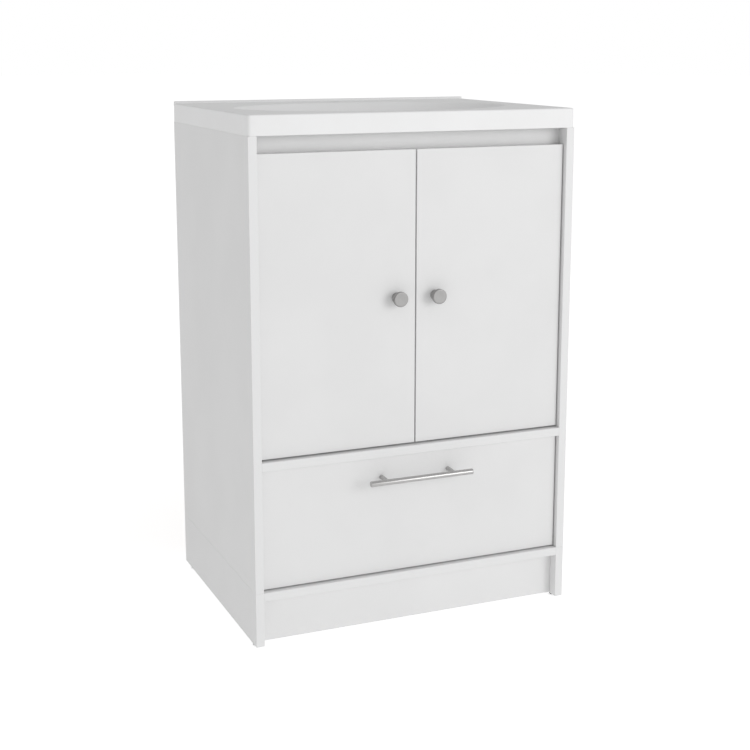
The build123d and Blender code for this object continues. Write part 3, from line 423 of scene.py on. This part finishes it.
def block(name, low, high, ease, segments=2):
    """A bar between two corners with all its edges eased."""
    deselect()
    low, high = Vector(low), Vector(high)
    bpy.ops.mesh.primitive_cube_add(size=1, location=(low + high) / 2)
    piece = newest(name)
    piece.scale = high - low
    settle(piece)
    open_mesh(piece, "EDGE")
    bpy.ops.mesh.bevel(offset=ease, segments=segments)
    close_mesh()
    return smoothed(piece)


def joined(name, pieces):
    """Several pieces made one."""
    deselect()
    for piece in pieces:
        piece.select_set(True)
    bpy.context.view_layer.objects.active = pieces[0]
    bpy.ops.object.join()
    return newest(name)


def copied(piece, name):
    twin = piece.copy()
    twin.data = piece.data.copy()
    twin.name = twin.data.name = name
    bpy.context.scene.collection.objects.link(twin)
    return twin


def mirrored(piece, name):
    """The piece's twin on the other side of the cabinet."""
    twin = copied(piece, name)
    twin.scale.x = -1
    settle(twin)
    return smoothed(twin)


def dress(piece, material, body, nodes):
    """Gives a new piece its finish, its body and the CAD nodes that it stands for."""
    piece.data.materials.clear()
    piece.data.materials.append(material)
    for face in piece.data.polygons:
        face.material_index = 0
    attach(piece, body)
    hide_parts(*nodes)


def coat(node, material):
    """Gives a CAD node a better finish."""
    for slot in frame["nodes"][node].material_slots:
        slot.material = material


# ---------------------------------------------------------------- sink top
RIDGE_HEIGHT = 4 * MM
RIDGE_DEPTH = 10 * MM
DECK_SKIN = 12 * MM
BOWL_SKIN = 6 * MM
SHOULDER = 4 * MM  # below the deck's skin, where the bowl's outside begins
SKIN_EASE = 2 * MM
RIDGE_EASE = 1.5 * MM
RIDGE_INSET = 0.5 * MM  # behind the ridge
TAP_EASE = 1.2 * MM
RIM_ROLL = 5 * MM
DRAIN_SEAT = 33 * MM
SEAT_DEPTH = 2 * MM
DECK_EDGE_ROLL = 2.5 * MM
SKIRT_DRAFT = math.radians(0.8)
SKIRT_FOOT = 0.4 * MM  # easing of the skirt's lower edge
CORNER = 6 * MM
CORNER_STEPS = 7
RING = 160  # vertices in each ring
LONG_EDGE_CUTS = (RING - 4 * (CORNER_STEPS + 1)) // 4
# depth below the deck, and the bowl's half length and half width there
BOWL_STATIONS = (
    (0, 254, 164),
    (34, 237, 149),
    (80, 216, 130),
    (112, 176, 102),
    (124, 114, 68),
    (126, 34, 34),
)


def curve_through(stations, steps):
    """Points on a smooth curve through the stations."""
    points = [Vector(station) * MM for station in stations]
    padded = [2 * points[0] - points[1], *points, 2 * points[-1] - points[-2]]
    found = []
    for before, start, end, after in zip(padded, padded[1:], padded[2:], padded[3:]):
        for step in range(steps):
            t = step / steps
            found.append(
                0.5
                * (
                    2 * start
                    + (end - before) * t
                    + (2 * before - 5 * start + 4 * end - after) * t**2
                    + (3 * start - before - 3 * end + after) * t**3
                )
            )
    return [*found, points[-1]]


def bowl_rings(deck, drain_radius):
    """(half length, half width, height) from just outside the rim, through the drain, to the underside."""
    side = curve_through(BOWL_STATIONS, 6)
    slope = math.atan2(side[1][0], side[0][1] - side[1][1])
    reach = RIM_ROLL * math.tan(slope / 2)
    length, width = side[0][1] + reach, side[0][2] + reach
    rings = [(length + MM, width + MM, deck)]
    steps = 6
    for step in range(steps + 1):
        angle = slope * step / steps
        inward = RIM_ROLL * math.sin(angle)
        rings.append((length - inward, width - inward, deck - RIM_ROLL * (1 - math.cos(angle))))
    rings += [(x, y, deck - depth) for depth, x, y in side if depth > 2 * RIM_ROLL]
    floor = deck - side[-1][0]
    seat = floor - SEAT_DEPTH
    under = floor - BOWL_SKIN
    hole = drain_radius
    for radius, height in (
        (DRAIN_SEAT, floor - 0.2 * MM),
        (DRAIN_SEAT - 0.6 * MM, seat + 0.2 * MM),
        (DRAIN_SEAT - 1.2 * MM, seat),
        (hole + 0.8 * MM, seat),
        (hole, seat - 0.8 * MM),
        (hole, under + 0.4 * MM),
        (hole + 0.4 * MM, under),
    ):
        rings.append((radius, radius, height))
    outside = [(x + BOWL_SKIN, y + BOWL_SKIN, deck - depth - BOWL_SKIN / 2) for depth, x, y in side]
    below = [ring for ring in outside if under < ring[2] < deck - DECK_SKIN - SHOULDER]
    rings += [(x, y, max(z, under)) for x, y, z in reversed(below)]
    last = rings[-1]
    rings.append((last[0] + SKIN_EASE, last[1] + SKIN_EASE, deck - DECK_SKIN))
    return rings


def skirt_rings(half_length, half_width, foot, deck):
    """(half length, half width, height) from the deck's edge, down the skirt and up inside it."""
    lean = (deck - foot) * math.tan(SKIRT_DRAFT)
    top_length, top_width = half_length - lean, half_width - lean / 2
    rings = [(top_length - DECK_EDGE_ROLL - MM, top_width - DECK_EDGE_ROLL - MM, deck)]
    steps = 5
    for step in range(steps + 1):
        angle = math.pi / 2 * step / steps
        outward = DECK_EDGE_ROLL * (math.sin(angle) - 1)
        drop = DECK_EDGE_ROLL * (1 - math.cos(angle))
        rings.append((top_length + outward, top_width + outward, deck - drop))
    drop = DECK_EDGE_ROLL + MM
    shift = math.tan(SKIRT_DRAFT) * MM
    rings.append((top_length + shift, top_width + shift / 2, deck - drop))
    rings.append((half_length - shift, half_width - shift / 2, foot + SKIRT_FOOT + MM))
    inner_length, inner_width = half_length - DECK_SKIN, half_width - DECK_SKIN
    rings += [
        (half_length, half_width, foot + SKIRT_FOOT),
        (half_length - SKIRT_FOOT * 0.3, half_width - SKIRT_FOOT * 0.3, foot + SKIRT_FOOT * 0.3),
        (half_length - SKIRT_FOOT, half_width - SKIRT_FOOT, foot),
        (inner_length + SKIRT_FOOT, inner_width + SKIRT_FOOT, foot),
        (inner_length, inner_width, foot + SKIRT_FOOT),
        (inner_length, inner_width, deck - DECK_SKIN - SKIN_EASE),
        (inner_length - SKIN_EASE, inner_width - SKIN_EASE, deck - DECK_SKIN),
    ]
    return rings


def follow_rings(piece, rings, centre):
    """Extrudes the selected loop through the rings."""
    for (x, y, z), (next_x, next_y, next_z) in zip(rings, rings[1:]):
        drop = {"value": (0, 0, next_z - z)}
        bpy.ops.mesh.extrude_edges_move(TRANSFORM_OT_translate=drop)
        pivot = (centre[0], centre[1], next_z)
        bpy.ops.transform.resize(value=(next_x / x, next_y / y, 1), center_override=pivot)


def make_sink(material):
    low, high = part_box("sink_top")
    mounts = {mount["name"]: mount for mount in frame["record"]["mounts"]}
    drain, tap = mounts["drain"], mounts["tap_hole"]
    deck = high.z - RIDGE_HEIGHT
    bowl_centre = (drain["pos_m"][0], drain["pos_m"][1])
    outline_centre = ((low.x + high.x) / 2, (low.y + high.y) / 2)

    rings = bowl_rings(deck, drain["dims"]["r_mm"] * MM)
    deselect()
    bpy.ops.mesh.primitive_circle_add(vertices=RING, radius=1, location=(*bowl_centre, deck))
    bowl = newest("sink_bowl")
    bowl.scale = (rings[0][0], rings[0][1], 1)
    settle(bowl)
    open_mesh(bowl, "EDGE")
    follow_rings(bowl, rings, bowl_centre)
    close_mesh()

    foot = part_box("side_panel_left")[1].z
    rings = skirt_rings((high.x - low.x) / 2, (high.y - low.y) / 2, foot, deck)
    deselect()
    bpy.ops.mesh.primitive_plane_add(size=2, location=(*outline_centre, deck))
    skirt = newest("sink_skirt")
    skirt.scale = (rings[0][0], rings[0][1], 1)
    settle(skirt)
    open_mesh(skirt, "VERT")
    bpy.ops.mesh.delete(type="ONLY_FACE")
    bpy.ops.mesh.select_all(action="SELECT")
    bpy.ops.mesh.bevel(offset=CORNER, segments=CORNER_STEPS, affect="VERTICES")
    bpy.ops.mesh.select_mode(type="EDGE")
    choose(skirt, "edges", lambda edge: edge.calc_length() > 5 * CORNER)
    bpy.ops.mesh.subdivide(number_cuts=LONG_EDGE_CUTS)
    bpy.ops.mesh.select_all(action="SELECT")
    follow_rings(skirt, rings, outline_centre)
    close_mesh()

    sink = joined("sink_top_shell", [bowl, skirt])
    open_mesh(sink, "EDGE")
    for level in (deck, deck - DECK_SKIN):
        choose(
            sink,
            "edges",
            lambda edge, level=level: edge.is_boundary
            and all(abs(vertex.co.z - level) < WELD for vertex in edge.verts),
        )
        bpy.ops.mesh.bridge_edge_loops(type="PAIRS")
    close_mesh()
    smoothed(sink)

    ridge_low = (low.x + MM, high.y - RIDGE_DEPTH - RIDGE_INSET, deck - DECK_SKIN / 2)
    ridge_high = (high.x - MM, high.y - RIDGE_INSET, high.z)
    ridge = block("ridge", ridge_low, ridge_high, RIDGE_EASE, 3)
    cut_with(sink, ridge, "UNION")
    tap_radius = tap["dims"]["r_mm"] * MM
    bore = [
        (tap_radius, -2 * DECK_SKIN),
        (tap_radius, -0.8 * MM),
        (tap_radius + TAP_EASE, 0.4 * MM),
        (tap_radius + TAP_EASE, DECK_SKIN),
    ]
    cut_with(sink, turned("tap_bore", bore, tap["pos_m"], UP, 64))
    smoothed(sink)
    dress(sink, material, "cabinet", ["sink_top"])


# ---------------------------------------------------------------- knobs and pull
KNOB_FOOT = 9 * MM
KNOB_NECK = 5.5 * MM
KNOB_HEAD = 6 * MM
NECK_FOOT = 1.9 * MM  # height at which the neck leaves the foot
NECK_STEPS = 12
HEAD_BACK_EASE = 0.6 * MM
HEAD_FRONT_EASE = 1.3 * MM
HEAD_DISH = 0.25 * MM
BAR_EASE = 0.9 * MM
BAR_CENTRE = 2 * MM  # radius of the flat left by the lathe's centre
POST_EASE = 0.35 * MM
SCREW_BORE = 2.05 * MM
KNOB_BORE_DEPTH = 15 * MM
POST_BORE_DEPTH = 16 * MM


def make_knobs():
    low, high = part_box("left_knob")
    radius = (high.x - low.x) / 2
    reach = high.y - low.y
    foot = Vector(((low.x + high.x) / 2, high.y, (low.z + high.z) / 2))
    # painted shade: the knobs use the pull's satin nickel with its grey lowered from 0.5 to 0.34, which
    # stands in for the darker reflections on the knob faces
    metal = satin_nickel("knob_satin_nickel", "Y", (abs(foot.x), foot.y, foot.z), 0.34, 0.3)
    shoulder = reach - KNOB_HEAD
    flare = radius - KNOB_NECK
    profile = [(SCREW_BORE, KNOB_BORE_DEPTH), (SCREW_BORE, 0.3 * MM), (SCREW_BORE + 0.3 * MM, 0)]
    profile += round_corner((KNOB_FOOT - 0.5 * MM, 0.5 * MM), 0.5 * MM, -90, 0, 3)
    profile += [(KNOB_FOOT, 1.4 * MM), (KNOB_FOOT - 0.4 * MM, NECK_FOOT)]
    # the neck draws in from the foot and flares out to the head
    for step in range(1, NECK_STEPS + 1):
        t = step / NECK_STEPS
        height = NECK_FOOT + (shoulder - 0.4 * MM - NECK_FOOT) * t
        drawn = (KNOB_FOOT - 0.4 * MM - KNOB_NECK) * (1 - t) ** 3
        profile.append((KNOB_NECK + drawn + (flare - 0.3 * MM) * t**3.2, height))
    back, front = HEAD_BACK_EASE, HEAD_FRONT_EASE
    profile += round_corner((radius - back, shoulder + back), back, -60, 0, 3)
    profile += round_corner((radius - front, reach - front), front, 0, 90, 6)
    profile += [(radius - 2 * front, reach), (2 * MM, reach - HEAD_DISH)]
    left = turned("knob_left_turned", profile, foot, FORWARD, 72)
    right = mirrored(left, "knob_right_turned")
    dress(left, metal, "left_door", ["left_knob"])
    dress(right, metal, "right_door", ["right_knob"])


def make_pull():
    low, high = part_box("pull_bar")
    radius = (high.z - low.z) / 2
    length = high.x - low.x
    axis_y, axis_z = (low.y + high.y) / 2, (low.z + high.z) / 2
    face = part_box("drawer_front")[0].y
    bar_metal = satin_nickel("bar_satin_nickel", "X", (0, axis_y, axis_z), 0.5, 0.2)
    profile = [(BAR_CENTRE, 0), *round_corner((radius - BAR_EASE, BAR_EASE), BAR_EASE, -90, 0, 4)]
    profile += round_corner((radius - BAR_EASE, length - BAR_EASE), BAR_EASE, 0, 90, 4)
    profile += [(BAR_CENTRE, length)]
    bar = turned("pull_bar_turned", profile, (low.x, axis_y, axis_z), RIGHTWARD, 64)
    dress(bar, bar_metal, "drawer", ["pull_bar"])

    low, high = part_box("pull_posts")
    post_radius = (high.z - low.z) / 2
    foot_x = high.x - post_radius
    post_metal = satin_nickel("post_satin_nickel", "Y", (foot_x, face, axis_z), 0.5, 0.2)
    profile = [(SCREW_BORE, POST_BORE_DEPTH), (SCREW_BORE, 0)]
    profile += round_corner((post_radius - POST_EASE, POST_EASE), POST_EASE, -90, 0, 3)
    profile += [(post_radius, face - axis_y)]
    posts = []
    for side in (-1, 1):
        post = turned("post", profile, (side * foot_x, face, axis_z), FORWARD, 40)
        tool = turned("saddle", [(radius, 0), (radius, length)], (-length / 2, axis_y, axis_z), RIGHTWARD, 64)
        cut_with(post, tool)
        posts.append(post)
    pair = smoothed(joined("pull_posts_turned", posts))
    dress(pair, post_metal, "drawer", ["pull_posts"])


# ---------------------------------------------------------------- fasteners
WOOD_SCREW = (1.75 * MM, (3.4 * MM, 1.6 * MM), 1.3 * MM)  # radius, head's radius and height, pitch
BOX_SCREW = (2 * MM, (3.4 * MM, 1.6 * MM), 1.6 * MM)
MACHINE_SCREW = (2 * MM, (4 * MM, 2.2 * MM), 0.8 * MM)
NAIL = (0.7 * MM, (1.5 * MM, 0.5 * MM))
CAM_RIM = 0.5 * MM
CAM_HUB = 2.5 * MM
CAM_RECESS = 2.5 * MM
TIP = (0.3 * MM, 1.6 * MM)  # a screw's point: radius and height of the cone above it
THREAD_ROOT = 0.72  # of the thread's radius
THREAD_REACH = 18 * MM  # the longest thread
SHANK = 0.95  # of the thread's radius
CROWN = 0.65  # domed part of a head's height
HEAD_FLAT = 0.4  # flat part of a head's radius
RECESS_REACH = 0.55  # of the head's radius
RECESS_WIDTH = 0.13
RECESS_DEPTH = 0.7  # of the head's height


def solid_boxes(node):
    """The boxes of a CAD node's separate solids, from left to right."""
    mesh = bmesh.new()
    mesh.from_mesh(frame["nodes"][node].data)
    bmesh.ops.remove_doubles(mesh, verts=mesh.verts, dist=WELD)
    waiting = set(mesh.verts)
    boxes = []
    while waiting:
        reached = [waiting.pop()]
        for vertex in reached:
            neighbours = {edge.other_vert(vertex) for edge in vertex.link_edges} & waiting
            waiting -= neighbours
            reached += neighbours
        boxes.append([[pick(v.co[axis] for v in reached) for axis in range(3)] for pick in (min, max)])
    mesh.free()
    return [(Vector(low), Vector(high)) for low, high in sorted(boxes)]


def inward(centre):
    return -RIGHTWARD if centre.x > 0 else RIGHTWARD


def outward(centre):
    return -inward(centre)


def rearward(centre):
    return BACKWARD


def placed(pattern, name, foot, direction):
    """A copy of a piece that was modelled upright at the origin."""
    twin = copied(pattern, name)
    twin.rotation_euler = direction.to_track_quat("Z", "Y").to_euler()
    twin.location = foot
    settle(twin)
    return twin


def cross_recess(piece, top, reach, width, depth):
    """Two crossed slots in the middle of an upright piece's top."""
    for x, y in ((reach, width), (width, reach)):
        slot = block("recess", (-x, -y, top - depth), (x, y, top + depth), width * 0.3, 1)
        cut_with(piece, slot)
    return smoothed(piece)


def screw(name, length, radius, head, pitch):
    """A pan-head screw with a ringed thread, its tip at the origin."""
    head_radius, head_height = head
    neck = length - head_height
    root = radius * THREAD_ROOT
    shank = radius * SHANK
    profile = [(TIP[0], 0), (root, TIP[1])]
    height = TIP[1] + 0.2 * pitch
    while height < min(neck - pitch, THREAD_REACH):
        profile += [(root, height), (radius, height + 0.4 * pitch), (root, height + 0.8 * pitch)]
        height += pitch
    crown = head_height * CROWN
    profile += [(shank, neck - 0.3 * MM), (shank, neck), (head_radius - 0.2 * MM, neck)]
    profile += round_corner((head_radius - crown, length - crown), crown, 0, 75, 4)
    profile += [(head_radius * HEAD_FLAT, length)]
    piece = turned(name, profile, (0, 0, 0), UP, 24)
    reach, width = head_radius * RECESS_REACH, head_radius * RECESS_WIDTH
    return cross_recess(piece, length, reach, width, head_height * RECESS_DEPTH)


def nail(name, length, radius, head):
    head_radius, head_height = head
    neck = length - head_height
    profile = [(0.1 * MM, 0), (radius, 1.5 * MM), (radius, neck), (head_radius - 0.1 * MM, neck)]
    profile += [(head_radius, neck + 0.15 * MM), (head_radius - 0.2 * MM, length), (0.5 * MM, length)]
    return turned(name, profile, (0, 0, 0), UP, 16)


def fasten(node, body, metal, heads_face, make, *sizes):
    """One piece for a node of like fasteners: modelled once, and copied to each one's place."""
    copies = []
    pattern = None
    for low, high in solid_boxes(node):
        centre = (low + high) / 2
        direction = heads_face(centre)
        length = abs(direction.dot(high - low))
        pattern = pattern or make(f"{node}_pattern", length, *sizes)
        copies.append(placed(pattern, f"{node}_copy", centre - direction * length / 2, direction))
    bpy.data.objects.remove(pattern)
    piece = smoothed(joined(f"{node}_turned", copies))
    dress(piece, metal, body, [node])


def cam(name, length, radius):
    """A cam lock: a drum with a dished face and a cross recess, its back at the origin."""
    rim = CAM_RIM
    profile = [(radius - rim, 0), (radius, rim), (radius, length - rim), (radius - 0.4 * rim, length)]
    profile += [(radius - 1.6 * rim, length), (radius - 2 * rim, length - rim), (CAM_HUB, length - rim)]
    piece = turned(name, profile, (0, 0, 0), UP, 40)
    return cross_recess(piece, length - rim, radius * 0.5, radius * 0.11, CAM_RECESS)


def cam_facing(centre):
    """Cams open through the nearest face of the board that holds them."""
    for thin, nodes in BOARDS.items():
        axis = "XYZ".index(thin)
        for node in nodes:
            low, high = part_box(node)
            if all(low[i] < centre[i] < high[i] for i in range(3)):
                direction = Vector((0, 0, 0))
                direction[axis] = 1 if high[axis] - centre[axis] < centre[axis] - low[axis] else -1
                return direction
    raise ValueError("a cam lies outside every board")


def make_fasteners(metal):
    fasten("hinge_screws", "cabinet", metal, inward, screw, *WOOD_SCREW)
    fasten("slide_screws", "cabinet", metal, inward, screw, *WOOD_SCREW)
    fasten("drawer_slide_screws", "drawer", metal, outward, screw, *WOOD_SCREW)
    fasten("drawer_screws", "drawer", metal, outward, screw, *BOX_SCREW)
    fasten("pull_screws", "drawer", metal, rearward, screw, *MACHINE_SCREW)
    for side in ("left", "right"):
        fasten(f"{side}_cup_screws", f"{side}_door", metal, rearward, screw, *WOOD_SCREW)
        fasten(f"knob_screw_{side}", f"{side}_door", metal, rearward, screw, *MACHINE_SCREW)
    fasten("back_nails", "cabinet", metal, rearward, nail, *NAIL)
    for node, body in (("cam_locks", "cabinet"), ("drawer_cams", "drawer")):
        low, high = solid_boxes(node)[0]
        fasten(node, body, metal, cam_facing, cam, max(high - low) / 2)
    coat("cam_bolts", metal)
    coat("drawer_bolts", metal)


# ---------------------------------------------------------------- hinges, slides and glides
STRIP_EASE = 0.25 * MM
FOOT_HEIGHT = 3 * MM
GLIDE_PIN = 1.5 * MM


def refined(node, name, ease):
    """A CAD node's shape with its faces whole again and its edges eased."""
    mesh = frame["nodes"][node].data.copy()
    piece = bpy.data.objects.new(name, mesh)
    mesh.name = name
    bpy.context.scene.collection.objects.link(piece)
    open_mesh(piece, "FACE")
    bpy.ops.mesh.remove_doubles(threshold=WELD)
    bpy.ops.mesh.dissolve_limited(angle_limit=math.radians(0.5))
    close_mesh()
    limits = {"width": ease, "segments": 2, "limit_method": "ANGLE", "angle_limit": math.radians(40)}
    apply_modifier(piece, "BEVEL", limits)
    return smoothed(piece)


def make_hinges(metal):
    for side in ("left", "right"):
        for part, body, ease in (
            ("cups", f"{side}_door", 0.25 * MM),
            ("links", f"{side}_links", 0.15 * MM),
            ("arms", "cabinet", 0.3 * MM),
            ("plates", "cabinet", 0.3 * MM),
        ):
            node = f"{side}_hinge_{part}"
            piece = refined(node, f"{node}_pressed", ease)
            dress(piece, metal, body, [node])


def make_slides(metal):
    for side in ("left", "right"):
        for part, body in (("cabinet", "cabinet"), ("middle", f"{side}_slide_middle"), ("drawer", "drawer")):
            node = f"slide_{part}_{side}"
            piece = refined(node, f"{node}_rolled", STRIP_EASE)
            dress(piece, metal, body, [node])


def make_glides(plastic):
    """Nail-in glides: a domed foot on a pin."""
    pattern = None
    for side in ("left", "right"):
        for end in ("front", "rear"):
            node = f"glide_{side}_{end}"
            low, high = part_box(node)
            radius = (high.x - low.x) / 2
            if pattern is None:
                profile = [(GLIDE_PIN, 0), (radius - 2 * MM, 0.15 * MM), (radius - 0.9 * MM, 0.5 * MM)]
                profile += [(radius, 1.3 * MM), (radius, FOOT_HEIGHT - 0.5 * MM)]
                profile += [(radius - 0.5 * MM, FOOT_HEIGHT), (GLIDE_PIN + 0.4 * MM, FOOT_HEIGHT)]
                profile += [(GLIDE_PIN, FOOT_HEIGHT + 0.4 * MM)]
                profile += [(GLIDE_PIN, high.z - 2 * MM), (0.3 * MM, high.z)]
                pattern = turned("glide_pattern", profile, (0, 0, 0), UP, 48)
            foot = Vector(((low.x + high.x) / 2, (low.y + high.y) / 2, low.z))
            glide = placed(pattern, f"{node}_moulded", foot, UP)
            dress(smoothed(glide), plastic, "cabinet", [node])
    bpy.data.objects.remove(pattern)


# ---------------------------------------------------------------- finishes of the CAD nodes
def coat_boards():
    for thin, nodes in BOARDS.items():
        material = melamine(f"melamine_thin_{thin}", thin)
        for node in nodes:
            coat(node, material)
    coat("back_panel", hardboard("hardboard_back", ("Y", -1)))
    coat("drawer_bottom", hardboard("hardboard_drawer", ("Z", 1)))
    coat("dowels", beech("beech_across", (0.1, 1, 1)))
    coat("stack_dowels", beech("beech_upright", (1, 1, 0.1)))
    coat("drawer_dowels", beech("beech_along", (1, 0.1, 1)))


# ---------------------------------------------------------------- studio
CAMERA_PLACE = (-0.9890, -2.3601, 1.0230)
CAMERA_TILT = math.radians(78.73)
CAMERA_TURN = math.radians(-22.94)
CAMERA_LENS = 67.386
CAMERA_SHIFT = -0.0733
WORLD_LIGHT = 0.59
BACKDROP = 1.0
FLOOR_GLOW = 0.62
FLOOR_LIGHT = 0.66  # part of its glow that lights the cabinet


def set_camera():
    deselect()
    bpy.ops.object.camera_add(location=CAMERA_PLACE, rotation=(CAMERA_TILT, 0, CAMERA_TURN))
    camera = bpy.context.active_object
    camera.data.lens = CAMERA_LENS
    camera.data.shift_y = CAMERA_SHIFT
    camera.data.clip_end = 100
    bpy.context.scene.camera = camera


def lamp(name, place, target, size, power):
    deselect()
    bpy.ops.object.light_add(type="AREA", location=place)
    light = bpy.context.active_object
    light.name = name
    light.data.shape = "DISK"
    light.data.size = size
    light.data.energy = power
    light.rotation_euler = (Vector(target) - Vector(place)).to_track_quat("-Z", "Y").to_euler()


def set_floor():
    """A wide white paper floor with a little glow of its own, so that it stays pale."""
    deselect()
    bpy.ops.mesh.primitive_circle_add(vertices=96, radius=40, fill_type="NGON")
    floor = newest("studio_floor")
    constants = {"Roughness": 0.9, "Specular IOR Level": 0.1, "Emission Strength": FLOOR_GLOW}
    paper = Finish("studio_paper", constants)
    place = paper.place()
    tooth = paper.noise(place, 300, 3.0)
    paper.feed("Base Color", paper.mixed(tooth, grey(0.70), grey(0.74)))
    # the glow is brighter to the eye than the light that it gives
    seen = paper.node("ShaderNodeLightPath", {}, {}, "Is Camera Ray")
    paper.feed("Emission Color", paper.mixed(seen, grey(FLOOR_LIGHT), grey(1.0)))
    floor.data.materials.append(paper.material)


def set_world():
    """An even white studio: brighter to the eye than the light that it gives."""
    world = bpy.data.worlds.new("studio")
    bpy.context.scene.world = world
    world.use_nodes = True
    tree = world.node_tree
    background = tree.nodes["Background"]
    background.inputs["Color"].default_value = (1, 1, 1, 1)
    path = tree.nodes.new("ShaderNodeLightPath")
    strength = tree.nodes.new("ShaderNodeMapRange")
    strength.inputs["To Min"].default_value = WORLD_LIGHT
    strength.inputs["To Max"].default_value = BACKDROP
    tree.links.new(path.outputs["Is Camera Ray"], strength.inputs["Value"])
    tree.links.new(strength.outputs["Result"], background.inputs["Strength"])


def set_studio():
    set_camera()
    set_floor()
    set_world()
    lamp("key", (3.1, -5.4, 1.9), (0, -0.1, 0.5), 3.6, 96)
    bpy.context.scene.view_settings.view_transform = "Standard"


coat_boards()
make_fasteners(zinc_plate("zinc_plate"))
make_hinges(pressed_steel("pressed_steel"))
make_slides(rolled_steel("rolled_steel"))
make_glides(nylon("glide_nylon"))
make_sink(cast_polymer("cast_polymer_white"))
make_knobs()
make_pull()
set_studio()
